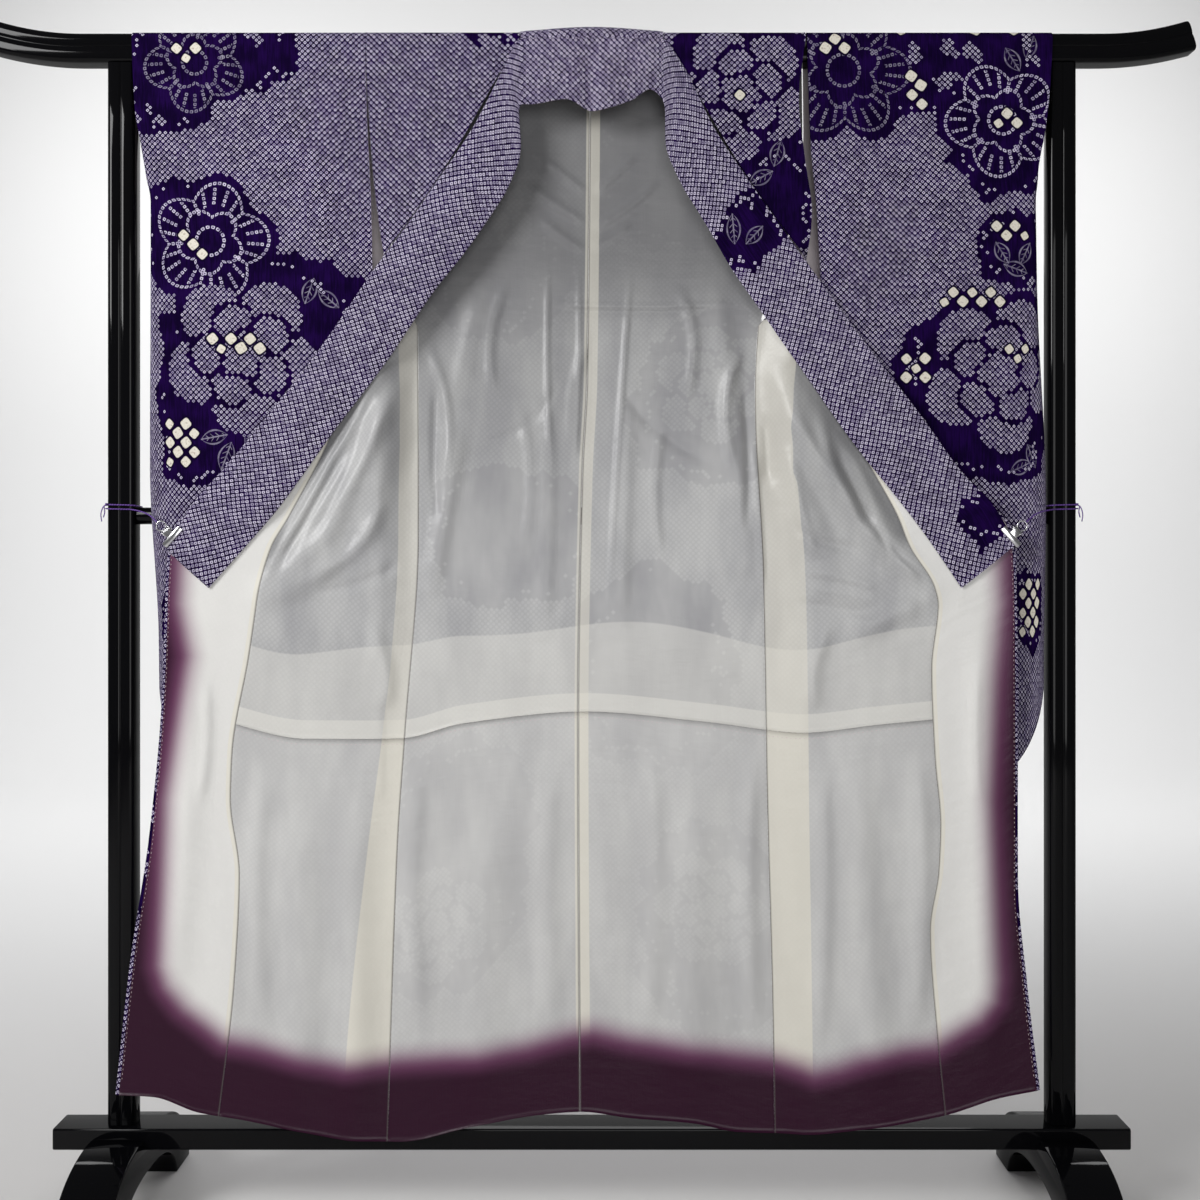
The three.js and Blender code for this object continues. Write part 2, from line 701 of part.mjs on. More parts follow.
// A foot: an arch from pad to pad, notched on top for the base rail.
function foot(sign) {
  const [reach, pad, arch] = [FOOT.reach, FOOT.pad, FOOT.arch];
  const notch = BASE_RAIL.deep / 2 + SEAM_GAP;
  const floor = BASE_RAIL.bottom - SEAM_GAP;
  const shape = new THREE.Shape();
  shape.moveTo(-reach, 0);
  shape.lineTo(-reach + pad, 0);
  shape.quadraticCurveTo(-reach + pad + 12, arch, 0, arch);
  shape.quadraticCurveTo(reach - pad - 12, arch, reach - pad, 0);
  shape.lineTo(reach, 0);
  shape.lineTo(reach, 16);
  shape.quadraticCurveTo(reach - 30, FOOT.cheek - 6, notch + 16, FOOT.cheek);
  shape.lineTo(notch, FOOT.cheek);
  shape.lineTo(notch, floor);
  shape.lineTo(-notch, floor);
  shape.lineTo(-notch, FOOT.cheek);
  shape.lineTo(-notch - 16, FOOT.cheek);
  shape.quadraticCurveTo(-reach + 30, FOOT.cheek - 6, -reach, 16);
  const arched = new THREE.ExtrudeGeometry(shape, {
    depth: FOOT.wide,
    bevelEnabled: false,
    curveSegments: 10,
  });
  arched.rotateX(Math.PI / 2).rotateZ(Math.PI / 2);
  return arched.translate(sign * POST.x - FOOT.wide / 2, 0, 0);
}

add("top_bar", topBar(), "lacquer");
add("mid_rail", midRail(), "lacquer");
add("base_rail", baseRail(), "lacquer");

// ---------------------------------------------------------------- body panels

// Every body panel is laid out in levels down its length: -2 at the shoulder line, -1 where it
// leaves the bar, 0 where a front has turned over, 1 where the linings meet and 2 at the hem.
const TURN_END = 1308;
const BACK_LINING_TOP = -0.92;
const FRONT_LINING_TOP = -0.1;

// Half a seam gap, taken off a panel's edge as a share of its width.
const inset = (t, width) => mix(SEAM_GAP / 2 / width, 1 - SEAM_GAP / 2 / width, t);
const atLevel = (level, turn, join, hem) =>
  level < 1 ? mix(turn, join, level) : mix(join, hem, level - 1);
const barRun = (level) => Math.max(SEAM_GAP / 2, (level + 2) * WRAP_RUN);

// A back panel, from the centre seam (u = 0) to the side seam (u = 1).
function backPlace(side) {
  const across = (u, z) => {
    const inner = centreX(z);
    const outer = side.sign * side.backX(z);
    return mix(inner, outer, inset(u, Math.abs(outer - inner)));
  };
  return (u, level) => {
    if (level < -1) {
      const over = overBar(barRun(level));
      return new THREE.Vector3(across(u, SHOULDER.z), over.y, over.z);
    }
    const z =
      level < 0
        ? mix(SHOULDER.z, TURN_END, level + 1)
        : atLevel(level, TURN_END, joinZ(across(u, 720)), hemZ(across(u, 140)));
    const x = across(u, z);
    return new THREE.Vector3(x, clothDepth(x, z), z);
  };
}

// A front, from its armhole and side seam (u = 0) to its collar and gore seam (u = 1).
function frontPlace(side) {
  const read = (column) => through(side.turn, "run", column);
  const [ax, ay, az] = [read("ax"), read("ay"), read("az")];
  const [bx, by, bz] = [read("bx"), read("by"), read("bz")];
  const last = side.turn[side.turn.length - 1];
  const lines = seamLines(side, last);
  return (u, level) => {
    if (level < 0) {
      const run = Math.max(WRAP_RUN, mix(WRAP_RUN, last.run, level + 1));
      const a = new THREE.Vector3(side.sign * ax(run), ay(run), az(run));
      const b = new THREE.Vector3(side.sign * bx(run), by(run), bz(run));
      const at = a.lerp(b, inset(u, Math.max(20, a.distanceTo(b))));
      if (level < -1) {
        const over = overBar(barRun(level));
        return new THREE.Vector3(at.x, -over.y, over.z);
      }
      at.y = mix(at.y, clothDepth(at.x, at.z), ease((run - 350) / (last.run - 350)));
      return at;
    }
    const za = lines.side(level);
    const zb = lines.gore(level);
    const xa = side.sign * side.backX(za);
    const xb = side.sign * side.goreX(zb);
    const share = inset(u, Math.hypot(xa - xb, za - zb));
    const x = mix(xa, xb, share);
    const z = mix(za, zb, share) + lines.bow(level, share, lines.side, lines.gore, x);
    return new THREE.Vector3(x, clothDepth(x, z), z);
  };
}

// A front gore, from its seam (u = 0) to the free edge (u = 1).
function gorePlace(side) {
  const lines = seamLines(side, side.turn[side.turn.length - 1]);
  return (u, level) => {
    const za = lines.gore(level);
    const zb = lines.edge(level);
    const xa = side.sign * side.goreX(za);
    const xb = side.sign * side.edgeX(zb);
    const share = inset(u, Math.hypot(xa - xb, za - zb));
    const x = mix(xa, xb, share);
    const z = mix(za, zb, share) + lines.bow(level, share, lines.gore, lines.edge, x);
    return new THREE.Vector3(x, clothDepth(x, z), z);
  };
}

// Heights of the lengthwise seams at each level, and how a level bows between two of them
// to follow the line of the lining join and the hem.
function seamLines(side, last) {
  const line = (turn, xAt) => {
    const join = joinZ(side.sign * xAt(720));
    const hem = hemZ(side.sign * xAt(150));
    return (level) => atLevel(level, turn, join, hem);
  };
  return {
    side: line(last.az, side.backX),
    gore: line(last.bz, side.goreX),
    edge: line(last.bz + 2, side.edgeX),
    bow: (level, share, from, to, x) => {
      const atJoin = joinZ(x) - mix(from(1), to(1), share);
      const atHem = hemZ(x) - mix(from(2), to(2), share);
      return atLevel(level, 0, atJoin, atHem);
    },
  };
}

const onBar = [...WRAP_STOPS.map((run) => run / WRAP_RUN - 2), -1];
const aboveJoin = evenly(0, 1, 9);
const belowJoin = evenly(1, 2, 7);
const joinSlit = (levels, from, to) => {
  const slit = SEAM_GAP / 2 / 590; // levels below the turn are about 590 mm long
  const moved = [...levels];
  if (from) moved[0] += slit;
  if (to) moved[moved.length - 1] -= slit;
  return moved;
};

for (const [name, side] of Object.entries(SIDES)) {
  const [back, front, gore] = [backPlace(side), frontPlace(side), gorePlace(side)];
  const shell = (place, us, levels) => wall(place, us, levels, 0, -SHELL_WALL, -side.sign);
  const lining = (place, us, levels) =>
    wall(place, us, levels, SEAM_GAP, SEAM_GAP + LINING_WALL, -side.sign);
  const body = [...aboveJoin, ...belowJoin.slice(1)];
  const upper = joinSlit(aboveJoin, false, true);
  const lower = joinSlit(belowJoin, true, false);

  const backCols = evenly(0, 1, 7);
  const backFall = [BACK_LINING_TOP, ...evenly(-0.84, 0, 5).slice(0, -1)];
  add(`back_${name}`, shell(back, backCols, [...onBar, ...backFall, ...body]), "shell");
  add(`lining_back_${name}`, lining(back, backCols, [...backFall, ...upper]), "lining");
  add(`hem_back_${name}`, lining(back, backCols, lower), "hemLining");

  const frontCols = evenly(0, 1, 7);
  const frontTurn = evenly(-1, 0, 10).slice(1, -1);
  const frontLining = [FRONT_LINING_TOP, ...upper];
  add(`front_${name}`, shell(front, frontCols, [...onBar, ...frontTurn, ...body]), "shell");
  add(`lining_front_${name}`, lining(front, frontCols, frontLining), "lining");
  add(`hem_front_${name}`, lining(front, frontCols, lower), "hemLining");

  const goreCols = evenly(0, 1, 4);
  add(`gore_${name}`, shell(gore, goreCols, body), "shell");
  add(`hem_gore_${name}`, lining(gore, goreCols, body), "hemLining");
}

// ---------------------------------------------------------------- sleeves

const sleeveCols = [0, 0.2, 0.4, 0.6, 0.78, 0.9, 0.97, 1];

// The foot of a sleeve, with its rounded outer corner.
function sleeveFoot(side, x) {
  const outer = side.sleeveOutX(SLEEVE.bottom + SLEEVE.cornerTall);
  const into = clamp01(1 - (outer - x) / SLEEVE.cornerWide);
  return SLEEVE.bottom + SLEEVE.cornerTall * (1 - Math.sqrt(Math.max(0, 1 - into * into)));
}

const sleeveX = (side, u, z) => mix(side.sleeveInX(z), side.sleeveOutX(z), u);

// Half of a sleeve, its front (facing -1) or its back (facing 1), from the fold on the bar
// (v = 0) down to its foot (v = 1) and from its open inner side (u = 0) to its outer side.
function sleevePlace(side, facing) {
  return (u, v) => {
    if (v <= WRAP_SHARE) {
      const over = overBar(Math.max(SEAM_GAP / 2, (WRAP_RUN * v) / WRAP_SHARE));
      const x = side.sign * sleeveX(side, u, SHOULDER.z);
      return new THREE.Vector3(x, facing * over.y, over.z);
    }
    const foot = sleeveFoot(side, sleeveX(side, u, SLEEVE.bottom + 80));
    const z = mix(SHOULDER.z, foot, (v - WRAP_SHARE) / (1 - WRAP_SHARE));
    const y = facing < 0 ? sleeveFront(z) - sleeveWave(u, z) : sleeveBack(z);
    return new THREE.Vector3(side.sign * sleeveX(side, u, z), y, z);
  };
}

// The sewn edge of a sleeve, down its outer side below the cuff and along its foot, from the
// front half (u = 0) to the back half (u = 1). v counts the spots along it.
function sleeveEdgePlace(side) {
  const cuff = CLOTH_TOP - CUFF;
  const rows = sleeveFall.map((v) => sleevePlace(side, 1)(1, v).z);
  const down = [cuff, ...rows.filter((z) => z < cuff - 10)].map((z) => [1, z]);
  const along = [...sleeveCols].reverse().slice(1);
  const foot = along.map((u) => [u, sleeveFoot(side, sleeveX(side, u, SLEEVE.bottom + 80))]);
  const spots = [...down, ...foot];
  const place = (u, v) => {
    const i = Math.max(0, Math.min(spots.length - 2, Math.floor(v)));
    const [across, z] = [0, 1].map((k) => mix(spots[i][k], spots[i + 1][k], v - i));
    const y = mix(
      sleeveFront(z) - sleeveWave(across, z) + SEAM_GAP,
      sleeveBack(z) - SEAM_GAP,
      u,
    );
    return new THREE.Vector3(side.sign * sleeveX(side, across, z), y, z);
  };
  return { place, stops: evenly(0, spots.length - 1, spots.length - 1) };
}

// Soft upright waves in the front of a sleeve.
function sleeveWave(u, z) {
  const hang = ease((1735 - z) / 200) * ease(u / 0.15) * ease((1 - u) / 0.15);
  return 1.3 * hang * (1 - Math.cos(2 * Math.PI * (2.2 * u + 0.15)));
}

// ---------------------------------------------------------------- collar

const COLLAR_REST = 2.5 + COLLAR_WALL / 2; // from the shell it lies on to the collar's middle

// A collar band lies on the opened front, and hangs free before the back near the neck.
function collarPlace(side) {
  const read = (column) => through(side.collar, "along", column);
  const [ax, ay, az] = [read("ax"), read("ay"), read("az")];
  const [bx, by, bz] = [read("bx"), read("by"), read("bz")];
  const long = side.collar[side.collar.length - 1].along;
  return (u, v) => {
    const along = v * long;
    const x = side.sign * mix(ax(along), bx(along), u);
    const z = mix(az(along), bz(along), u);
    const free = mix(ay(along), by(along), u) - 2.5 * Math.sin(Math.PI * clamp01(u));
    const rest = clothDepth(x, z) - COLLAR_REST;
    const past = Math.abs(x) - side.backX(z);
    const lies = z < 1420 ? ease((past + 25) / 50) : 0;
    const y = mix(free, Math.min(free, rest), lies);
    return new THREE.Vector3(x, y, z);
  };
}

// The neck stretch: from the back neckline over the bar, and down before it to its free edge,
// with the crease where it was folded at the centre back.
function neckPlace() {
  const out = SHELL_WALL + SEAM_GAP + COLLAR_WALL / 2; // off the path of the cloth it lies on
  const bend = WRAP.bend + out;
  const free = through(NECK_EDGE, "x", "z");
  return (u, v) => {
    const x = mix(-NECK.half, NECK.half, u);
    const crease = Math.exp(-(((x - NECK.creaseX) / NECK.creaseWide) ** 2));
    if (v < 0) {
      const z = CLOTH_TOP + out - bend + v * NECK.behind;
      return new THREE.Vector3(x, WRAP.flat + bend, z);
    }
    if (v < 1) {
      const turn = clamp01(1 - v / 0.4) * (Math.PI / 2);
      const fore = clamp01((v - 0.6) / 0.4) * (Math.PI / 2);
      const flat = mix(WRAP.flat, -WRAP.flat, clamp01((v - 0.4) / 0.2));
      const y = flat + bend * Math.sin(turn) - bend * Math.sin(fore);
      const z = CLOTH_TOP + out - bend * (1 - Math.cos(turn)) - bend * (1 - Math.cos(fore));
      return new THREE.Vector3(x, y, z);
    }
    const fall = v - 1;
    const top = CLOTH_TOP + out - bend;
    const puff = NECK.puff * Math.sin(Math.PI * clamp01(u)) * ease(fall * 1.5);
    const y = -WRAP.flat - bend - 7 * fall - puff + NECK.creaseDeep * crease * ease(fall * 1.5);
    return new THREE.Vector3(x, y, mix(top, free(x), fall));
  };
}

const sleeveOnBar = [...WRAP_STOPS, WRAP_RUN].map((run) => (run / WRAP_RUN) * WRAP_SHARE);
const sleeveFall = evenly(WRAP_SHARE, 1, 12).slice(1);
const sleeveRows = [...sleeveOnBar, ...sleeveFall];
for (const [name, side] of Object.entries(SIDES)) {
  add(`post_${name}`, post(side.sign), "lacquer");
  add(`foot_${name}`, foot(side.sign), "lacquer");
  for (const [half, facing] of [["front", -1], ["back", 1]]) {
    const turned = -facing * side.sign;
    const made = wall(sleevePlace(side, facing), sleeveCols, sleeveRows, 0, -SHELL_WALL, turned);
    add(`sleeve_${half}_${name}`, made, "shell");
  }
  const edge = sleeveEdgePlace(side);
  const strip = wall(edge.place, [0, 1], edge.stops, 0, -SHELL_WALL, side.sign);
  add(`sleeve_edge_${name}`, strip, "shell");
  const place = collarPlace(side);
  const half = COLLAR_WALL / 2;
  const band = wall(place, evenly(0, 1, 4), evenly(0, 1, 24), -half, half, 1);
  add(`collar_${name}`, band, "shell");
}
const neckCols = [0, 0.2, 0.4, 0.46, 0.5, 0.56, 0.7, 0.85, 1];
const neckRows = [-1, ...evenly(0, 0.4, 3), ...evenly(0.6, 1, 3), ...evenly(1.25, 2, 4)];
const neckWall = wall(neckPlace(), neckCols, neckRows, -COLLAR_WALL / 2, COLLAR_WALL / 2, 1);
add("collar_neck", neckWall, "shell");

// ---------------------------------------------------------------- clips and cords

// A spring clip: two jaws on the collar's lower corner, the barrel that joins them past the
// cloth's edge, and the ring that its cord is tied to. It is built level and then tipped.
function clip(side) {
  const { jaw, plate, arm, barrel, ring } = CLIP;
  const [front, back] = [-CLIP.grip / 2 - plate, CLIP.grip / 2];
  const parts = [];
  for (const y of [front, back]) {
    parts.push(block(-jaw / 2, jaw / 2, y, y + plate, -4, 4));
    parts.push(block(-arm / 2, arm / 2, y, y + plate, 3, barrel.out));
  }
  const radius = CLIP.grip / 2 + plate;
  const drum = new THREE.CylinderGeometry(radius, radius, barrel.long, 16);
  parts.push(drum.rotateZ(Math.PI / 2).translate(0, 0, barrel.out));
  const loop = new THREE.TorusGeometry(ring.radius, ring.wire, 6, 18);
  parts.push(loop.rotateX(Math.PI / 2).translate(0, 0, ring.out));
  const made = joined(...parts);
  made.rotateY(side.sign * CLIP.tip);
  return made.translate(side.sign * CLIP.x, CLIP.y, CLIP.z);
}

// From the ring to the post, then round the post above the middle rail to its knot. The turn
// starts on the post's front and follows its rounded section a little way off.
function cordRoute(side) {
  const [w, d] = [POST.wide / 2 + CORD.off, POST.deep / 2 + CORD.off];
  const soften = (t) => Math.sign(t) * Math.abs(t) ** 0.55;
  const route = CORD_SPAN.map((at) => [at.x, at.y, at.z]);
  for (const t of evenly(0, 1, 27)) {
    const angle = THREE.MathUtils.degToRad(mix(-105, 300, t));
    route.push([
      POST.x + w * soften(Math.cos(angle)),
      d * soften(Math.sin(angle)),
      mix(CORD.low, CORD.high, t),
    ]);
  }
  return route.map(([x, y, z]) => [side.sign * x, y, z]);
}

for (const [name, side] of Object.entries(SIDES)) {
  add(`clip_${name}`, clip(side), "chrome");
  const route = cordRoute(side);
  add(`cord_${name}`, tube(route, CORD.diameter, 52), "cord");
  const [x, y, z] = route[route.length - 1];
  const knot = new THREE.IcosahedronGeometry(CORD.knot / 2, 1);
  const past = CORD.knot / 2 + SEAM_GAP;
  add(`knot_${name}`, knot.translate(x + side.sign * past, y - 0.6, z), "cord");
}

export default kimono;
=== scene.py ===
# %% [markdown]
# A furisode is a kimono with very long sleeves. This one is silk, tie-dyed all over in kanoko: the
# dyer pinches up thousands of points of cloth, binds each with thread, and dips the whole in
# purple, so every bound point stays pale. It hangs over the bar of a lacquered stand with its
# fronts clipped open. The solid model gives each piece its place and size; here the same named
# measures are used again for thinner, finer cloth, in metres, with every object at the origin.

from types import SimpleNamespace

import bpy
import numpy as np
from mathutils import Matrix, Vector


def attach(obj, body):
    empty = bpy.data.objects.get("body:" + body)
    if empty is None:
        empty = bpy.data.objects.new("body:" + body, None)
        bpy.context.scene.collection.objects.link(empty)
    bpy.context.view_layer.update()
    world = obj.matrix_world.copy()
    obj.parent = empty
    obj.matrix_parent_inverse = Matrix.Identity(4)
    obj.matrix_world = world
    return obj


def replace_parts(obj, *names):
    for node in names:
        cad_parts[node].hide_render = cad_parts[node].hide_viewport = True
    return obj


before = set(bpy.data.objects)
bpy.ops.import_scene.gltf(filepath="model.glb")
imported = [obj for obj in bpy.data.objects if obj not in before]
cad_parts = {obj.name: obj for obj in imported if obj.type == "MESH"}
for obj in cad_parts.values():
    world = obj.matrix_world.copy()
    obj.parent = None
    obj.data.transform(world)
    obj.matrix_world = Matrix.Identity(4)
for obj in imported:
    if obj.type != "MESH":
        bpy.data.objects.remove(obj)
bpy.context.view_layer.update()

# %% [markdown]
# The viewer stands square to the stand, about two metres off, with the eye a little below the
# middle of the garment. A small lens shift frames the stand without tipping the camera, so its
# posts stay upright.

# %% Camera
eye = bpy.data.cameras.new("eye")
eye.sensor_width = 36
eye.lens = 39.54
eye.shift_y = -0.0267
camera = bpy.data.objects.new("camera", eye)
camera.location = (0.012, -1.950, 0.950)
camera.rotation_euler = (np.pi / 2, 0, 0)
bpy.context.scene.collection.objects.link(camera)
bpy.context.scene.camera = camera
print("camera at", tuple(camera.location))

# %% [markdown]
# Every curve of the cloth is read from a short table. A smooth line through the rows must never
# swing past them, or a seam would wander off its edge, so the slopes are the harmonic means of
# the chords on either side. Tables are in millimetres and meshes in metres.

# %% Tables and smooth lines
MM = 0.001


def table(names, *rows):
    return dict(zip(names.split(), np.array(rows, float).T))


def mix(a, b, t):
    return a + (b - a) * t


def clamp01(t):
    return np.clip(t, 0.0, 1.0)


def ease(t):
    t = clamp01(t)
    return t * t * (3 - 2 * t)


def through(rows, key, column):
    order = np.argsort(rows[key])
    at, value = rows[key][order], rows[column][order]
    chord = np.diff(value) / np.diff(at)
    slope = np.r_[chord[0], chord]
    before, after = chord[:-1], chord[1:]
    total = np.where(before + after == 0, 1, before + after)
    slope[1:-1] = np.where(before * after <= 0, 0, 2 * before * after / total)

    def read(x):
        x = np.asarray(x, float)
        i = np.clip(np.searchsorted(at, x) - 1, 0, len(at) - 2)
        h = at[i + 1] - at[i]
        t = (x - at[i]) / h
        inner = value[i] * (1 + 2 * t) * (1 - t) ** 2 + slope[i] * h * t * (1 - t) ** 2
        inner = inner + value[i + 1] * t * t * (3 - 2 * t) + slope[i + 1] * h * t * t * (t - 1)
        low = value[0] + slope[0] * (x - at[0])
        high = value[-1] + slope[-1] * (x - at[-1])
        return np.where(x <= at[0], low, np.where(x >= at[-1], high, inner))

    return read


# %% Meshes from points
def put(name, points, faces, material, slot, smooth=True, uv=None):
    mesh = bpy.data.meshes.new(name)
    mesh.from_pydata([tuple(p) for p in np.asarray(points) * MM], [], [tuple(f) for f in faces])
    mesh.polygons.foreach_set("use_smooth", [smooth] * len(mesh.polygons))
    if uv is not None:
        layer = mesh.uv_layers.new(name="cut")
        corner = np.zeros(len(mesh.loops), int)
        mesh.loops.foreach_get("vertex_index", corner)
        layer.data.foreach_set("uv", (np.asarray(uv) * MM)[corner].ravel())
    obj = bpy.data.objects.new(name, mesh)
    bpy.context.scene.collection.objects.link(obj)
    mesh.materials.append(material)
    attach(obj, "root")
    return obj


def outward(points, faces):
    """Turns the faces of a closed shape outward."""
    p = np.asarray(points, float)
    inside = 0.0
    for size in {len(f) for f in faces}:
        corners = p[np.array([f for f in faces if len(f) == size])]
        for k in range(1, size - 1):
            a, b, c = corners[:, 0], corners[:, k], corners[:, k + 1]
            inside += np.einsum("ij,ij->i", a, np.cross(b, c)).sum()
    return faces if inside > 0 else [tuple(f[::-1]) for f in faces]


def grid_faces(rows, cols, closed=False):
    """Quads of a sheet, or of a tube whose last column joins its first."""
    wide = cols if closed else cols - 1
    return [
        (r * cols + c, r * cols + (c + 1) % cols, (r + 1) * cols + (c + 1) % cols, (r + 1) * cols + c)
        for r in range(rows - 1)
        for c in range(wide)
    ]


def loft(rings):
    """Skins rings of points, and closes the first and the last with a fan."""
    rings = np.asarray(rings, float)
    count, around = rings.shape[:2]
    faces = grid_faces(count, around, closed=True)
    ends = [rings[0].mean(0), rings[-1].mean(0)]
    points = np.r_[rings.reshape(-1, 3), ends]
    last = (count - 1) * around
    for i in range(around):
        j = (i + 1) % around
        faces.append((j, i, count * around))
        faces.append((last + i, last + j, count * around + 1))
    return points, outward(points, faces)


def joined(*parts):
    """Several closed shapes as one list of points and faces."""
    points, faces = [], []
    for p, f in parts:
        base = sum(len(q) for q in points)
        points.append(np.asarray(p, float))
        faces += [tuple(i + base for i in face) for face in f]
    return np.concatenate(points), faces


def swept(path, radius, around=16):
    """The rings of a round section carried along a path without twisting."""
    path = np.asarray(path, float)
    ahead = np.gradient(path, axis=0)
    ahead /= np.linalg.norm(ahead, axis=1)[:, None]
    side = np.cross(ahead[0], (0, 0, 1.0))
    if np.linalg.norm(side) < 0.2:
        side = np.cross(ahead[0], (0, 1.0, 0))
    rings = []
    turn = np.linspace(0, 2 * np.pi, around, endpoint=False)
    for at, way in zip(path, ahead):
        side = side - way * side.dot(way)
        side /= np.linalg.norm(side)
        up = np.cross(way, side)
        rings.append(at + radius * (np.outer(np.cos(turn), side) + np.outer(np.sin(turn), up)))
    return np.array(rings)


print("helpers ready")

# %% [markdown]
# Shader maths is easier to read as plain expressions. A small class wraps a socket, so that
# adding or multiplying two of them adds the Math node for it. Colours go through Mix nodes.

# %% Shader helper
class Val:
    def __init__(self, look, socket):
        self.look, self.socket = look, socket

    def math(self, operation, *others):
        return self.look.node("ShaderNodeMath", {"operation": operation}, [self, *others])

    def __add__(self, other):
        return self.math("ADD", other)

    def __mul__(self, other):
        return self.math("MULTIPLY", other)

    __radd__, __rmul__ = __add__, __mul__

    def __sub__(self, other):
        return self.math("SUBTRACT", other)

    def __rsub__(self, other):
        return self.look.node("ShaderNodeMath", {"operation": "SUBTRACT"}, [other, self])

    def __truediv__(self, other):
        return self.math("DIVIDE", other)

    def __lt__(self, other):
        return self.math("LESS_THAN", other)

    def __gt__(self, other):
        return self.math("GREATER_THAN", other)

    def __abs__(self):
        return self.math("ABSOLUTE")

    def floor(self):
        return self.math("FLOOR")

    def smooth(self, low, high):
        """0 before low and 1 past high, or the other way round where low is the larger."""
        a, b, turn = (low, high, (0, 1)) if low < high else (high, low, (1, 0))
        spot = {0: self, 1: a, 2: b, 3: turn[0], 4: turn[1]}
        return self.look.node("ShaderNodeMapRange", {"interpolation_type": "SMOOTHSTEP"}, spot)


class Look:
    """A material, with one method that adds any node."""

    def __init__(self, name, **shader):
        self.material = bpy.data.materials.new(name)
        self.material.use_nodes = True
        self.tree = self.material.node_tree
        self.shader = self.tree.nodes["Principled BSDF"]
        for socket, value in shader.items():
            self.set(socket.replace("_", " ").title().replace("Ior", "IOR"), value)

    def set(self, name, value):
        if isinstance(value, Val):
            self.tree.links.new(value.socket, self.shader.inputs[name])
        else:
            self.shader.inputs[name].default_value = value

    def node(self, kind, settings=None, inputs=(), out=0):
        made = self.tree.nodes.new(kind)
        for key, value in (settings or {}).items():
            setattr(made, key, value)
        pairs = inputs.items() if isinstance(inputs, dict) else enumerate(inputs)
        for key, value in pairs:
            if isinstance(value, Val):
                self.tree.links.new(value.socket, made.inputs[key])
            else:
                made.inputs[key].default_value = value
        return Val(self, made.outputs[out])

    def blend(self, share, a, b):
        """Colour a where share is 0 and b where it is 1."""
        a, b = (c if isinstance(c, Val) else (*c, 1) for c in (a, b))
        return self.node("ShaderNodeMix", {"data_type": "RGBA"}, {0: share, 6: a, 7: b}, out=2)

    def attribute(self, name):
        return self.node("ShaderNodeAttribute", {"attribute_name": name}, out=2)

    def cut(self):
        """Across and along the cloth as it was cut, in millimetres."""
        uv = self.node("ShaderNodeUVMap", {"uv_map": "cut"})
        split = self.node("ShaderNodeSeparateXYZ", inputs=[uv])
        along = Val(self, split.socket.node.outputs[1])
        return split * 1000, along * 1000

    def vector(self, x, y, z=0.0):
        return self.node("ShaderNodeCombineXYZ", inputs=[x, y, z])

    def noise(self, vector, scale, detail=2.0):
        spot = {"Vector": vector, "Scale": scale, "Detail": detail}
        return self.node("ShaderNodeTexNoise", inputs=spot)

    def chance(self, x, y):
        """A random share, the same all over one cell of a lattice."""
        at = {"Vector": self.vector(x, y)}
        return self.node("ShaderNodeTexWhiteNoise", {"noise_dimensions": "2D"}, at)

    def place(self):
        return self.node("ShaderNodeTexCoord", out=3)

    def bump(self, height, deep, strength=1.0):
        spot = {"Height": height, "Distance": deep, "Strength": strength}
        self.set("Normal", self.node("ShaderNodeBump", inputs=spot))


# %% [markdown]
# Each clip is tied back by a thin purple cord, which runs from the clip's ring to the post, goes
# once round it above the middle rail, and ends in a knot with two tails. A cord is a round section
# carried along the same route as the solid's, with finer steps. The braid is a slanting stripe on
# the cord's own cut coordinates.

# %% Cords
POST = SimpleNamespace(x=692, wide=43, deep=33)
CORD = SimpleNamespace(diameter=2, knot=5.5, off=2.3, low=1036, high=1043)
CORD_SPAN = [
    (627.6, -47.2, 1016.2), (634, -44, 1021.5), (642, -39, 1027), (652, -34, 1031),
    (664, -29.5, 1034), (675, -23.5, 1035.6),
]
TAILS = [  # each from the knot down, as seen on the right post
    [(4, -3, -4), (7, -3.5, -14), (6, -3, -25)],
    [(2, -4, -3), (1, -4.5, -11), (3, -4, -19)],
]


def rounder(path, steps):
    """A smooth path through the points, in even steps (Catmull-Rom)."""
    p = np.asarray(path, float)
    p = np.r_[[2 * p[0] - p[1]], p, [2 * p[-1] - p[-2]]]
    fine = []
    for i in range(1, len(p) - 2):
        t = np.linspace(0, 1, 12, endpoint=False)[:, None]
        a, b, c, d = p[i - 1], p[i], p[i + 1], p[i + 2]
        bend = (2 * a - 5 * b + 4 * c - d) * t**2 + (3 * b - a - 3 * c + d) * t**3
        fine.append(0.5 * (2 * b + (c - a) * t + bend))
    fine = np.r_[np.concatenate(fine), [p[-2]]]
    run = np.r_[0, np.cumsum(np.linalg.norm(np.diff(fine, axis=0), axis=1))]
    even = np.linspace(0, run[-1], steps)
    return np.stack([np.interp(even, run, fine[:, k]) for k in range(3)], axis=1)


def cord_route(sign):
    w, d = POST.wide / 2 + CORD.off, POST.deep / 2 + CORD.off
    route = list(CORD_SPAN)
    for t in np.linspace(0, 1, 28):
        angle = np.radians(mix(-105, 300, t))
        c, s = np.cos(angle), np.sin(angle)
        x = POST.x + w * np.sign(c) * abs(c) ** 0.55
        route.append((x, d * np.sign(s) * abs(s) ** 0.55, mix(CORD.low, CORD.high, t)))
    return rounder(np.array(route) * (sign, 1, 1), 150)


braid = Look("purple_braid", base_color=(0.1, 0.035, 0.26, 1), roughness=0.6)
across, along = braid.cut()
strands = (across * 1.0 + along * 1.6).math("SINE")
tone = braid.blend(strands.smooth(-0.8, 0.8), (0.05, 0.016, 0.15), (0.17, 0.07, 0.38))
braid.set("Base Color", tone)
braid.bump(strands, 0.0003, 0.8)

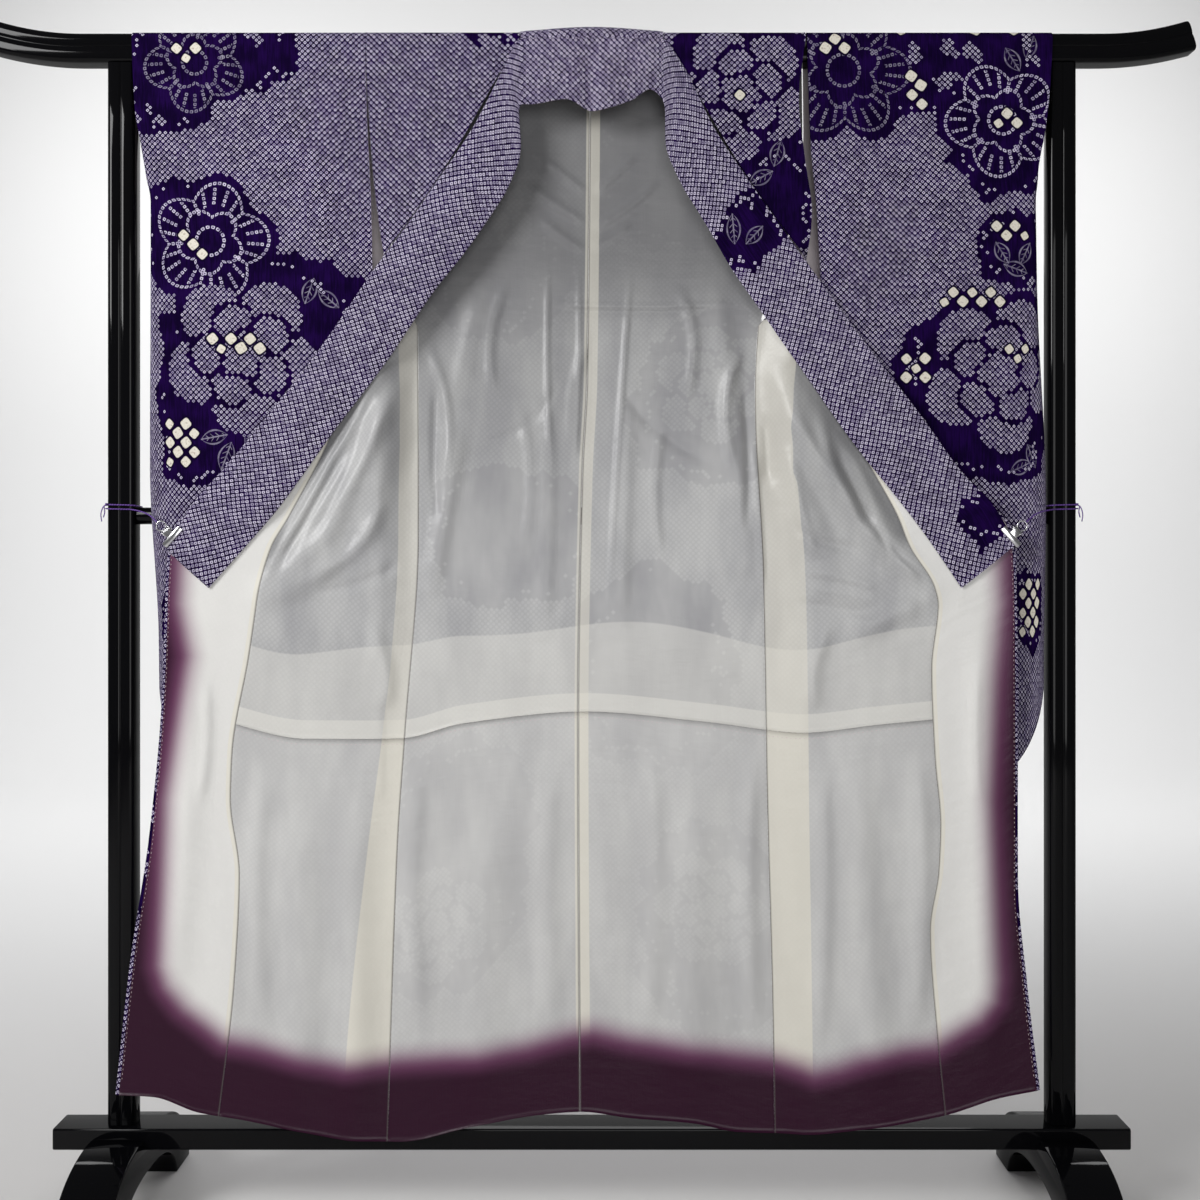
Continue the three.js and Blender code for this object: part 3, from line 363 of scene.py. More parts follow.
for name, sign in (("left", -1), ("right", 1)):
    route = cord_route(sign)
    rings = swept(route, CORD.diameter / 2, 12)
    points, faces = loft(rings)
    run = np.r_[0, np.cumsum(np.linalg.norm(np.diff(route, axis=0), axis=1))]
    uv = np.stack(np.broadcast_arrays(np.arange(12) / 12 * 2 * np.pi, run[:, None]), axis=2)
    uv = np.r_[uv.reshape(-1, 2), [[0, 0]], [[0, run[-1]]]]
    tie = put(f"tie_cord_{name}", points, faces, braid.material, "cord", uv=uv)
    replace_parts(tie, f"cord_{name}")
    end = route[-1]
    ball = end + np.array((sign * (CORD.knot / 2 + 0.3), -0.6, 0))
    turn = np.linspace(0, 2 * np.pi, 49)[:-1]
    loops = np.stack([np.sin(turn) + 2 * np.sin(2 * turn), np.cos(turn) - 2 * np.cos(2 * turn),
                      -1.3 * np.sin(3 * turn)], axis=1) * (0.62, 0.62, 0.8)
    loops = np.r_[loops, loops[:1]] + ball
    tails = [rounder([ball, *(ball + (sign * x, y, z) for x, y, z in tail)], 24) for tail in TAILS]
    knot = joined(loft(swept(loops, 1.0, 8)), *(loft(swept(t, 0.8, 8)) for t in tails))
    uv = np.stack([knot[0][:, 0], knot[0][:, 2]], axis=1)
    tied_end = put(f"tie_knot_{name}", *knot, braid.material, "cord", uv=uv)
    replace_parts(tied_end, f"knot_{name}")
    print("cord", name, round(float(run[-1])), "mm long")

# %% [markdown]
# The stand is turned and planed wood under many coats of black lacquer, rubbed until it mirrors
# the room. The top bar has a bead along its top and its foot and ends that sweep up, so its
# section is carried along it; the rest are plain lofts and extrusions. Lacquer is a dark base
# under a clear coat, with the faint waviness that a brushed coat keeps.

# %% Lacquer
lacquer = Look(
    "black_lacquer", base_color=(0.002, 0.002, 0.0026, 1), roughness=0.3, specular_ior_level=0.0,
    coat_weight=0.34, coat_roughness=0.05,
)
lacquer.bump(lacquer.noise(lacquer.place(), 9, 1), 0.0006, 0.35)

# %% Top bar
BAR = SimpleNamespace(top=1736, tall=43, deep=36, straight=750, end=882, rise=19)


def arc(a, c, b, steps):
    """A quadratic bend from a to b, pulled towards c, without its last point."""
    t = np.linspace(0, 1, steps, endpoint=False)[:, None]
    a, b, c = (np.array(p, float) for p in (a, b, c))
    return a * (1 - t) ** 2 + 2 * c * t * (1 - t) + b * t * t


def bar_section():
    w, h, bead = BAR.deep / 2, BAR.tall / 2, 2
    right = [
        arc((w - 9, h), (w, h), (w, h - 12), 8), arc((w, h - 12), (w, 4), (w - bead, 1), 6),
        arc((w - bead, 1), (w, -3), (w, -h + 9), 6), arc((w, -h + 9), (w, -h), (w - 8, -h), 8),
    ]
    right = np.r_[np.concatenate(right), [(w - 8, -h)]]
    return np.r_[right, right[::-1] * (-1, 1)]


def sweep_bar(stations):
    section, rings = bar_section(), []
    for x, shrink in stations:
        t = clamp01((abs(x) - BAR.straight) / (BAR.end - BAR.straight))
        lean = 2 * BAR.rise * t / (BAR.end - BAR.straight) * np.sign(x)
        y, z = (section * shrink).T
        rings.append(np.stack([x - lean * z, y, BAR.top - BAR.tall / 2 + BAR.rise * t * t + z], axis=1))
    return loft(rings)


ends = [(x, 1.0) for x in np.linspace(BAR.straight, BAR.end - 1.4, 24)]
ends += [(BAR.end - 0.7, 0.985), (BAR.end, 0.95)]
stations = [(-x, s) for x, s in ends[::-1]] + [(x, 1.0) for x in np.linspace(-700, 700, 29)] + ends
bar = put("lacquered_top_bar", *sweep_bar(stations), lacquer.material, "lacquer")
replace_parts(bar, "top_bar")
print("bar", len(bar.data.polygons), "faces")

# %% Posts and rails
SEAM_GAP = 0.3
BASE_RAIL = SimpleNamespace(bottom=100, tall=31, deep=54, half=787)
MID_RAIL = SimpleNamespace(z=1027, diameter=25)


def prism(outline, levels, turn):
    """An outline carried through (place, shrink) levels, then turned to stand as wanted."""
    outline = np.asarray(outline, float)
    middle = outline.mean(0)
    rings = []
    for at, shrink in levels:
        flat = middle + (outline - middle) * shrink
        rings.append([turn(x, y, at) for x, y in flat])
    return loft(rings)


def post_outline():
    w, d = POST.wide / 2, POST.deep / 2
    quarter = [
        arc((-w, 0), (-w, -d), (-w + 9, -d), 10), arc((-w + 9, -d), (-8, -d), (-3, -d), 3),
        arc((-3, -d), (-1, -d + 0.4), (0, -d + 1.5), 4),
    ]
    left = np.concatenate(quarter)
    front = np.r_[left, [(0, -d + 1.5)], (left * (-1, 1))[::-1]]
    return np.r_[front, (front[1:-1] * (1, -1))[::-1]]


def eased_ends(low, high, soft=1.0):
    return [(low, 0.97), (low + soft, 1.0), *[(z, 1.0) for z in np.linspace(low, high, 12)[1:-1]],
            (high - soft, 1.0), (high, 0.97)]


foot_of_post = BASE_RAIL.bottom + BASE_RAIL.tall + SEAM_GAP
head_of_post = BAR.top - BAR.tall - SEAM_GAP
for name, sign in (("left", -1), ("right", 1)):
    upright = prism(
        post_outline(), eased_ends(foot_of_post, head_of_post),
        lambda x, y, z, sign=sign: (sign * POST.x + x, y, z),
    )
    post = put(f"lacquered_post_{name}", *upright, lacquer.material, "lacquer")
    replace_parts(post, f"post_{name}")

turn = np.linspace(0, 2 * np.pi, 40, endpoint=False)
round_rail = np.stack([np.cos(turn), np.sin(turn)], axis=1) * MID_RAIL.diameter / 2
reach = POST.x - POST.wide / 2 - SEAM_GAP
rail = prism(round_rail, eased_ends(-reach, reach), lambda a, b, x: (x, a, MID_RAIL.z + b))
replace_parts(put("lacquered_mid_rail", *rail, lacquer.material, "lacquer"), "mid_rail")

d, h, c = BASE_RAIL.deep / 2, BASE_RAIL.tall, 3.0
corners = [((-d, c), (-d, 0), (-d + c, 0)), ((d - c, 0), (d, 0), (d, c)),
           ((d, h - c), (d, h), (d - c, h)), ((-d + c, h), (-d, h), (-d, h - c))]
soft_edge = np.concatenate([np.r_[arc(*k, 5), [k[2]]] for k in corners])
rail = prism(
    soft_edge, eased_ends(-BASE_RAIL.half, BASE_RAIL.half, 1.5),
    lambda y, z, x: (x, y, BASE_RAIL.bottom + z),
)
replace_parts(put("lacquered_base_rail", *rail, lacquer.material, "lacquer"), "base_rail")
print("post", round(head_of_post - foot_of_post), "mm tall")

# %% Feet
FOOT = SimpleNamespace(wide=78, reach=185, cheek=115, pad=62, arch=62)


def foot_outline():
    reach, notch, floor = FOOT.reach, BASE_RAIL.deep / 2 + SEAM_GAP, BASE_RAIL.bottom - SEAM_GAP
    half = [
        arc((0, FOOT.arch), (reach - FOOT.pad - 12, FOOT.arch), (reach - FOOT.pad, 0), 22),
        [(reach - FOOT.pad, 0), (reach, 0)],
        arc((reach, 16), (reach - 30, FOOT.cheek - 6), (notch + 16, FOOT.cheek), 22),
        [(notch + 16, FOOT.cheek), (notch, FOOT.cheek), (notch, floor)],
    ]
    half = np.concatenate([np.asarray(k, float) for k in half])
    return np.r_[half, (half[1:] * (-1, 1))[::-1]]


for name, sign in (("left", -1), ("right", 1)):
    outline = foot_outline()
    left, right = sign * POST.x - FOOT.wide / 2, sign * POST.x + FOOT.wide / 2
    count = len(outline)
    points = [(x, y, z) for x in (left, right) for y, z in outline]
    faces = [(i, (i + 1) % count, count + (i + 1) % count, count + i) for i in range(count)]
    faces += [tuple(range(count))[::-1], tuple(range(count, 2 * count))]
    faces = outward(points, faces)
    foot = put(f"lacquered_foot_{name}", points, faces, lacquer.material, "lacquer", smooth=False)
    edge = foot.modifiers.new("soft_edges", "BEVEL")
    edge.width, edge.segments, edge.limit_method = 2.2 * MM, 3, "ANGLE"
    edge.angle_limit = np.radians(40)
    for polygon in foot.data.polygons:
        polygon.use_smooth = True
    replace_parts(foot, f"foot_{name}")
print("feet ready")

# %% [markdown]
# The cloth comes next. Its seams, hem and lining join were measured along the real garment as
# tables: a seam is a row of heights and how far out it lies there. Both halves are listed apart,
# because cloth never hangs evenly. The folds table gives each crease's start, middle and end, how
# wide it is and how far it stands up.

# %% Lines of the cloth
BACK_DEPTH = table("z y",
    (1735, 20), (1630, 17.6), (1330, 0), (1040, -14.6), (900, -19), (620, -26), (110, -36),
)
CENTRE_SEAM = table("z x",
    (1740, -2), (1227, -7), (1085, -14), (736, -20), (150, -17),
)
DOOR_DEPTH = table("z y",
    (1400, -30.5), (650, -31), (400, -35), (110, -42),
)
EDGE_DEPTH = table("z y",
    (1400, -31), (1194, -37), (1090, -42), (976, -46), (860, -44), (600, -43), (375, -45),
    (150, -50),
)
SLEEVE_FRONT = table("z y",
    (1735, -20), (1560, -23.5), (1040, -24.4), (630, -24.6),
)
SLEEVE_BACK = table("z y",
    (1735, 20), (1630, 17.6), (1330, 1), (1040, -15.2), (630, -15.6),
)
HEM = table("x z",
    (-687, 190), (-633, 187), (-567, 164), (-506, 153), (-414, 133), (-340, 120), (-279, 117),
    (-168, 140), (-71, 156), (-14, 160), (56, 151), (147, 144), (214, 131), (302, 129), (394, 138),
    (511, 160), (588, 185), (648, 197),
)
LINING_JOIN = table("x z",
    (-540, 730), (-416, 702), (-280, 701), (-187, 723), (-10, 740), (167, 725), (304, 710),
    (413, 722), (520, 733),
)
NECK_EDGE = table("x z",
    (-107, 1627), (-90, 1625), (-37, 1632), (0, 1615), (60, 1631), (85, 1648), (107, 1630),
)
FOLDS = table("x0 z0 xm zm x1 z1 wide rise",
    (-478, 914, -356, 1050, -262, 1290, 20, 9), (-474, 905, -400, 940, -372, 990, 16, 5),
    (-268, 1180, -310, 1070, -336, 960, 18, 6), (-190, 1180, -215, 1040, -238, 890, 16, 7),
    (-160, 1360, -180, 1280, -196, 1200, 18, 5), (-440, 620, -420, 420, -430, 160, 30, 7),
    (-575, 860, -585, 600, -610, 300, 22, 6), (-340, 640, -345, 400, -330, 140, 26, 6),
    (250, 1290, 330, 1110, 489, 920, 20, 9), (262, 1200, 300, 1080, 345, 950, 18, 5),
    (484, 900, 430, 880, 380, 850, 16, 5), (185, 1360, 205, 1180, 226, 960, 18, 6),
    (380, 700, 395, 440, 420, 160, 28, 7), (560, 860, 565, 600, 570, 240, 22, 6),
    (55, 1260, 45, 1000, 40, 860, 14, 4), (-62, 1260, -66, 1000, -70, 860, 14, 4),
    (-150, 620, -160, 400, -160, 150, 34, 6), (150, 620, 140, 400, 150, 150, 34, 6),
)
SIDES = {
    "left": {
        "sign": -1,
        "backEdge": table("z x",
            (1745, 332), (1600, 326), (1460, 306), (1316, 257), (991, 254), (703, 273), (544, 283),
            (100, 297),
        ),
        "turn": table("run ax ay az bx by bz",
            (26.3, 332, -20, 1725.6, 106, -20, 1725.6), (126, 328, -20.5, 1635, 155, -24, 1637),
            (214, 322, -21, 1547, 205, -26, 1549), (296, 313, -21.5, 1466, 262, -28, 1463),
            (364, 301, -19, 1400, 304, -31, 1402), (412, 279, -11, 1350, 331, -31.5, 1352),
            (455, 257.5, -1, 1308, 344, -32, 1310),
        ),
        "gore": table("z x",
            (1345, 333), (1310, 344), (1172, 372), (1034, 440), (986, 465), (927, 481), (824, 497),
            (676, 521), (613, 523), (510, 510), (354, 517), (150, 539),
        ),
        "edge": table("z x",
            (1400, 306), (1337, 345), (1276, 391), (1194, 452), (1090, 536), (1045, 576),
            (1005, 606), (964, 614), (750, 623), (559, 641), (375, 668), (185, 688),
        ),
        "sleeveInner": table("z x",
            (1745, 333), (1600, 328), (1466, 322), (1320, 320), (600, 318),
        ),
        "sleeveOuter": table("z x",
            (1745, 675), (1620, 668), (1569, 659), (1488, 648), (1093, 646), (845, 633), (600, 631),
        ),
        "collar": table("along ax ay az bx by bz",
            (0, 107, -23.5, 1726, 107, -29.7, 1627), (60, 134, -25.5, 1671, 103, -31, 1562),
            (140, 172, -27.5, 1595, 119, -31, 1510), (240, 227, -29.5, 1512, 153, -31, 1454),
            (325, 275, -32, 1441, 190, -32, 1402), (390, 313, -34, 1389, 226, -33, 1357),
            (520, 389, -37, 1276, 303, -34, 1243), (625, 451, -40, 1194, 369, -38, 1155),
            (755, 535, -45, 1090, 455, -43, 1034), (815, 575, -47, 1045, 487, -45, 996),
            (890, 613, -49, 976, 553, -47, 921),
        ),
    },
    "right": {
        "sign": 1,
        "backEdge": table("z x",
            (1745, 313), (1600, 314), (1460, 296), (1316, 246), (1198, 240), (934, 251), (611, 256),
            (315, 263), (100, 266),
        ),
        "turn": table("run ax ay az bx by bz",
            (26.3, 313, -20, 1725.6, 106, -20, 1725.6), (126, 303, -20.5, 1635, 158, -24, 1637),
            (214, 312, -21, 1549, 209, -26, 1549), (296, 322, -21.5, 1470, 266, -28, 1463),
            (364, 313, -19, 1402, 309, -31, 1402), (412, 282, -11, 1350, 332, -31.5, 1352),
            (455, 245.5, -1, 1308, 345, -32, 1310),
        ),
        "gore": table("z x",
            (1345, 334), (1310, 345), (1150, 383), (1031, 442), (983, 460), (923, 495), (895, 501),
            (805, 492), (676, 497), (577, 505), (510, 502), (430, 489), (281, 499), (150, 511),
        ),
        "edge": table("z x",
            (1400, 311), (1361, 337), (1267, 406), (1172, 478), (1086, 539), (1045, 578),
            (1010, 606), (972, 613), (750, 617), (504, 617), (349, 630), (190, 648),
        ),
        "sleeveInner": table("z x",
            (1745, 314.5), (1631, 317), (1562, 320), (1477, 328), (1320, 335), (600, 337),
        ),
        "sleeveOuter": table("z x",
            (1745, 676), (1651, 670), (1591, 663), (1520, 652), (1371, 653), (1046, 664),
            (804, 661), (600, 661),
        ),
        "collar": table("along ax ay az bx by bz",
            (0, 107, -23.5, 1726, 107, -29.7, 1630), (60, 141, -25.5, 1671, 107, -31, 1574),
            (140, 177, -27.5, 1595, 125, -31, 1520), (240, 231, -29.5, 1512, 166, -31, 1451),
            (325, 280, -32, 1441, 203, -32, 1386), (395, 322, -34, 1381, 241, -33, 1331),
            (520, 404, -37, 1267, 314, -34, 1225), (640, 476, -40.5, 1172, 390, -39, 1117),
            (745, 537, -45, 1086, 446, -43, 1046), (805, 577, -47, 1045, 482, -45, 998),
            (880, 612, -49, 984, 534, -47, 921),
        ),
    },
}

CREASES = table("x0 z0 xm zm x1 z1 wide rise",
    (-324, 1169, -366, 1066, -434, 967, 12, -5), (-310, 1226, -402, 1058, -488, 902, 7, 3),
    (346, 1135, 384, 1060, 409, 1001, 13, -6), (256, 1182, 260, 1120, 259, 1068, 9, -4.5),
    (235, 1153, 246, 1020, 251, 902, 5, 2), (300, 944, 360, 938, 425, 915, 5, 1.8),
    (310, 922, 372, 912, 440, 898, 5, 1.6), (-70, 1560, -40, 1532, -6, 1508, 6, 2),
    (-100, 1522, -55, 1490, -7, 1462, 7, 2.2), (-80, 1472, -45, 1442, -8, 1420, 6, 1.8),
    (70, 1566, 36, 1536, 0, 1505, 6, 2), (104, 1530, 50, 1484, -4, 1452, 7, 2.2),
    (60, 1462, 30, 1440, -6, 1424, 5, 1.6), (-69, 1341, 70, 1336, 219, 1341, 3.5, 1.6),
    (-69, 1334, 70, 1329, 219, 1334, 4, -1.6), (-64, 1409, -66, 1250, -60, 1100, 4, 1.8),
    (-21, 1409, -19, 1250, -26, 1090, 4, 1.6), (59, 1413, 40, 1150, 22, 843, 4.5, 2),
    (-250, 1290, -212, 1180, -224, 1060, 8, 3), (228, 1280, 196, 1190, 214, 1080, 8, 3),
    (-120, 1380, -150, 1290, -140, 1190, 9, 2.6), (120, 1370, 150, 1290, 132, 1180, 9, 2.6),
    (-330, 880, -300, 800, -310, 740, 12, 2.6), (352, 880, 322, 800, 330, 740, 12, 2.6),
    (-250, 700, -262, 480, -244, 260, 16, 3.2), (-60, 700, -66, 480, -54, 240, 18, 3),
    (80, 700, 92, 470, 76, 240, 18, 3), (236, 700, 228, 470, 240, 250, 14, 3),
    (330, 690, 338, 480, 326, 230, 14, 3), (-470, 690, -486, 480, -470, 260, 15, 3.2),
    (470, 690, 478, 470, 462, 250, 15, 3.2), (-560, 800, -556, 700, -570, 600, 8, 2),
    (556, 820, 552, 700, 560, 600, 8, 2), (-40, 1230, -100, 1160, -190, 1120, 7, -1.6),
    (40, 1220, 100, 1150, 190, 1100, 7, -1.6),
    (330, 1180, 352, 1096, 400, 1020, 10, 3.5), (372, 1096, 410, 1010, 466, 946, 7, -3.5),
    (286, 1136, 300, 1040, 330, 960, 9, 3), (280, 1020, 330, 990, 400, 975, 6, -2),
    (286, 900, 350, 892, 430, 880, 6, -1.8), (420, 1000, 446, 960, 478, 930, 5, 2.5),
    (-286, 1196, -330, 1110, -390, 1010, 10, 3.5), (-352, 1140, -404, 1040, -470, 930, 8, -4),
    (-300, 1060, -340, 980, -420, 930, 9, 3), (-280, 960, -330, 930, -410, 912, 6, -2),
    (-226, 1240, -232, 1120, -222, 1000, 7, -2.5), (222, 1230, 230, 1110, 226, 990, 7, -2.5),
    (0, 1300, -30, 1200, -22, 1100, 9, 2), (-110, 1200, -90, 1080, -104, 960, 9, 2),
    (110, 1190, 92, 1070, 104, 950, 9, 2),
    (-320, 1226, -400, 1100, -470, 980, 17, -4), (-286, 1210, -352, 1100, -440, 960, 12, 4),
    (316, 1226, 392, 1116, 448, 1004, 17, -4), (276, 1200, 350, 1070, 430, 956, 12, 4),
)
print("seams, folds and", len(CREASES["x0"]), "fine creases")

# %% Ready-to-read seams
back_depth = through(BACK_DEPTH, "z", "y")
door_depth = through(DOOR_DEPTH, "z", "y")
edge_depth = through(EDGE_DEPTH, "z", "y")
sleeve_front = through(SLEEVE_FRONT, "z", "y")
sleeve_back = through(SLEEVE_BACK, "z", "y")
centre_x = through(CENTRE_SEAM, "z", "x")
hem_z = through(HEM, "x", "z")
join_z = through(LINING_JOIN, "x", "z")


def read_side(rows):
    turn, collar = rows["turn"], rows["collar"]
    return SimpleNamespace(
        sign=rows["sign"],
        back_x=through(rows["backEdge"], "z", "x"), gore_x=through(rows["gore"], "z", "x"),
        edge_x=through(rows["edge"], "z", "x"), sleeve_in=through(rows["sleeveInner"], "z", "x"),
        sleeve_out=through(rows["sleeveOuter"], "z", "x"),
        turn={k: through(turn, "run", k) for k in turn if k != "run"},
        collar={k: through(collar, "along", k) for k in collar if k != "along"},
        last={k: float(v[-1]) for k, v in turn.items()}, collar_long=float(collar["along"][-1]),
    )


LEFT, RIGHT = read_side(SIDES["left"]), read_side(SIDES["right"])
print("collar bands", LEFT.collar_long, RIGHT.collar_long, "mm")

# %% [markdown]
# The depth of the hanging cloth at a place is the smooth back, plus the fronts folded forward past
# the side seams like two doors, plus the folds. A fold is the distance from a curved crest, through
# a bell curve, so that many folds can run into one another as they do in silk. This is a rule
# rather than a cloth simulation, because each big crease has its known place.

# %% Depth of the cloth
CLOTH_TOP, SHOULDER_Z, TURN_END = 1736.6, 1725.6, 1308
WRAP_FLAT, WRAP_BEND = 9, 11
BEND_RUN = WRAP_BEND * np.pi / 2
WRAP_RUN = WRAP_FLAT + BEND_RUN


def crests(rows, steps):
    t = np.linspace(0, 1, steps + 1)
    out = []
    for i in range(len(rows["x0"])):
        f = {k: v[i] for k, v in rows.items()}
        mid = [2 * f[k + "m"] - (f[k + "0"] + f[k + "1"]) / 2 for k in "xz"]
        line = [f[k + "0"] * (1 - t) ** 2 + m * 2 * t * (1 - t) + f[k + "1"] * t * t
                for k, m in zip("xz", mid)]
        out.append((line[0], line[1], f["wide"], f["rise"]))
    return out


FINE = 1.55  # how much deeper the fine creases are than their table says
ALL_CRESTS = crests(FOLDS, 6), crests(CREASES, 8)


def fold_rise(x, z, which):
    rise = np.zeros(np.broadcast(x, z).shape)
    for cx, cz, wide, tall in ALL_CRESTS[which]:
        nearest, along = np.full(rise.shape, 1e9), np.zeros(rise.shape)
        for i in range(len(cx) - 1):
            dx, dz = cx[i + 1] - cx[i], cz[i + 1] - cz[i]
            t = clamp01(((x - cx[i]) * dx + (z - cz[i]) * dz) / (dx * dx + dz * dz))
            far = np.hypot(x - cx[i] - dx * t, z - cz[i] - dz * t)
            along = np.where(far < nearest, (i + t) / (len(cx) - 1), along)
            nearest = np.minimum(nearest, far)
        taper = ease(along / 0.25) * ease((1 - along) / 0.25)
        floor = 0.25 if which == 0 else 0.0
        rise += tall * (floor + (1 - floor) * taper) * np.exp(-((nearest / wide) ** 2))
    return rise


SLEEVE_CLEAR, CLEAR_SOFT = -29.2, 1.5


def cloth_depth(x, z):
    """Where the body's cloth hangs, and always clear of the sleeves behind its fronts."""
    x, z = np.broadcast_arrays(np.asarray(x, float), np.asarray(z, float))
    back, big, fine = back_depth(z), fold_rise(x, z, 0), fold_rise(x, z, 1)
    left = x < centre_x(z)
    seam = np.where(left, LEFT.back_x(z), RIGHT.back_x(z))
    edge = np.where(left, LEFT.edge_x(z), RIGHT.edge_x(z))
    past = np.abs(x) - seam
    step = ease(past / 62)
    door = mix(back, door_depth(z), step)
    opened = ease(past / np.maximum(40, edge - seam))
    door = mix(door, edge_depth(z), opened * step)
    inner = back - big * ease((1480 - z) / 100)
    hang = np.where((past <= 0) | (z > 1480), inner, door - big) - FINE * fine * ease((1600 - z) / 60)
    inner_edge = np.where(left, LEFT.sleeve_in(z), RIGHT.sleeve_in(z))
    behind = ease((np.abs(x) - inner_edge + 20) / 15) * ease((z - 600) / 30) * ease((1400 - z) / 30)
    clear = SLEEVE_CLEAR - CLEAR_SOFT * np.logaddexp(0, (SLEEVE_CLEAR - hang) / CLEAR_SOFT)
    return mix(hang, clear, behind)


def over_bar(run):
    """The way over the bar: flat on its top, round its edge, then straight down."""
    turn = np.clip(run - WRAP_FLAT, 0, BEND_RUN) / WRAP_BEND
    y = np.where(run < WRAP_FLAT, run, WRAP_FLAT + WRAP_BEND * np.sin(turn))
    z = CLOTH_TOP - WRAP_BEND * (1 - np.cos(turn)) - np.maximum(0, run - WRAP_RUN)
    return y, z


print("depth at the waist", round(float(cloth_depth(0.0, 1100.0)), 1), "mm")

# %% [markdown]
# Every panel is a sheet on one rule: its seams give its two long edges, and levels give its rows:
# -2 at the shoulder line, -1 where it leaves the bar, 0 where a front has turned over, 1 where the
# linings meet and 2 at the hem. The shell and its lining share the same levels, so they lie
# together like one lined garment.

# %% Where each panel lies


def inset(t, width):
    return mix(SEAM_GAP / 2 / width, 1 - SEAM_GAP / 2 / width, t)


def at_level(level, turn, join, hem):
    return np.where(level < 1, mix(turn, join, level), mix(join, hem, level - 1))


def bar_run(level):
    return np.maximum(SEAM_GAP / 2, (level + 2) * WRAP_RUN)


def back_place(side):
    def across(u, z):
        slit = 13 * np.exp(-(((z - 1350) / 30) ** 2)) * ease((z - 1308) / 25)
        slit = slit + 4.5 * np.exp(-(((z - 1314) / 7) ** 2))
        inner, outer = centre_x(z), side.sign * (side.back_x(z) + slit)
        return mix(inner, outer, inset(u, np.abs(outer - inner)))

    def place(u, level):
        bar_y, bar_z = over_bar(bar_run(level))
        low = at_level(level, TURN_END, join_z(across(u, 720.0)), hem_z(across(u, 140.0)))
        z = np.where(level < 0, mix(SHOULDER_Z, TURN_END, level + 1), low)
        x = across(u, np.where(level < -1, SHOULDER_Z, z))
        y = np.where(level < -1, bar_y, cloth_depth(x, z))
        return np.stack([x, y, np.where(level < -1, bar_z, z)], axis=-1)

    return place


def seam_lines(side):
    def line(turn, x_at):
        join, hem = join_z(side.sign * x_at(720.0)), hem_z(side.sign * x_at(150.0))
        return lambda level: at_level(level, turn, join, hem)

    lines = SimpleNamespace(
        side=line(side.last["az"], side.back_x), gore=line(side.last["bz"], side.gore_x),
        edge=line(side.last["bz"] + 2, side.edge_x),
    )

    def bow(level, share, a, b, x):
        at_join = join_z(x) - mix(a(1.0), b(1.0), share)
        at_hem = hem_z(x) - mix(a(2.0), b(2.0), share)
        return at_level(level, 0.0, at_join, at_hem)

    lines.bow = bow
    return lines


def between(side, lines, a, b, xa_of, xb_of, u, level):
    za, zb = a(level), b(level)
    xa, xb = side.sign * xa_of(za), side.sign * xb_of(zb)
    share = inset(u, np.hypot(xa - xb, za - zb))
    x = mix(xa, xb, share)
    z = mix(za, zb, share) + lines.bow(level, share, a, b, x)
    return np.stack([x, cloth_depth(x, z), z], axis=-1)


def front_place(side):
    lines, read, last = seam_lines(side), side.turn, side.last["run"]

    def place(u, level):
        run = np.maximum(WRAP_RUN, mix(WRAP_RUN, last, np.minimum(level, 0) + 1))
        a = np.stack([side.sign * read["ax"](run), read["ay"](run), read["az"](run)], axis=-1)
        b = np.stack([side.sign * read["bx"](run), read["by"](run), read["bz"](run)], axis=-1)
        share = inset(u, np.maximum(20, np.linalg.norm(a - b, axis=-1)))[..., None]
        top = mix(a, b, share)
        lie = ease((run - 350) / (last - 350))
        top[..., 1] = mix(top[..., 1], cloth_depth(top[..., 0], top[..., 2]), lie)
        bar_y, bar_z = over_bar(bar_run(level))
        bar = np.stack([top[..., 0], -bar_y, bar_z], axis=-1)
        low = between(side, lines, lines.side, lines.gore, side.back_x, side.gore_x, u, level)
        return np.where(level[..., None] < -1, bar, np.where(level[..., None] < 0, top, low))

    return place


def gore_place(side):
    lines = seam_lines(side)
    return lambda u, level: between(
        side, lines, lines.gore, lines.edge, side.gore_x, side.edge_x, u, level)


print("panels: back, front, gore on each side")

# %% [markdown]
# Kanoko is a lattice of small bound points set on the slant, 5.9 mm apart. The shader turns the
# cloth's own cut coordinates by 45 degrees and snaps them to the lattice, so each point is whole,
# with a pale ring round a tiny dark centre. A second question, asked once for each point, is
# whether it was bound at all: the unbound points leave the plain purple of clouds. On that ground,
# flowers are drawn with points strung along their lines, or filled with lattice points, leaves
# have stitched lines, and a few large points are dipped cream. The designs here are plain old
# flower and leaf forms, worked out from a rule and set out in short tables.

# %% Kanoko tie-dye
PITCH, STRING, SPOT, DRIFT = 5.9, 6.6, 19.5, 76  # of points, drawn lines, cream spots; of edges
PURPLE, DEEP = (0.0125, 0.0022, 0.050), (0.0045, 0.001, 0.018)
PALE, WORN, CREAM = (0.66, 0.61, 0.77), (0.31, 0.27, 0.41), (0.74, 0.70, 0.61)


def lattice(look, across, along, pitch):
    """Centre of the cell a point falls in, and the point's place in that cell."""
    root = pitch * 2**0.5
    a, b = (across + along) / root, (across - along) / root
    ca, cb = a.floor() + 0.5, b.floor() + 0.5
    return (ca + cb) * (pitch / 2**0.5), (ca - cb) * (pitch / 2**0.5), a - ca, b - cb


def turned_about(x, y, motif):
    """A point as seen from a motif's middle, turned with it."""
    c, s = np.cos(np.radians(motif["turn"])), np.sin(np.radians(motif["turn"]))
    dx, dy = x - motif["across"], y - motif["down"]
    return dx * c + dy * s, dy * c - dx * s


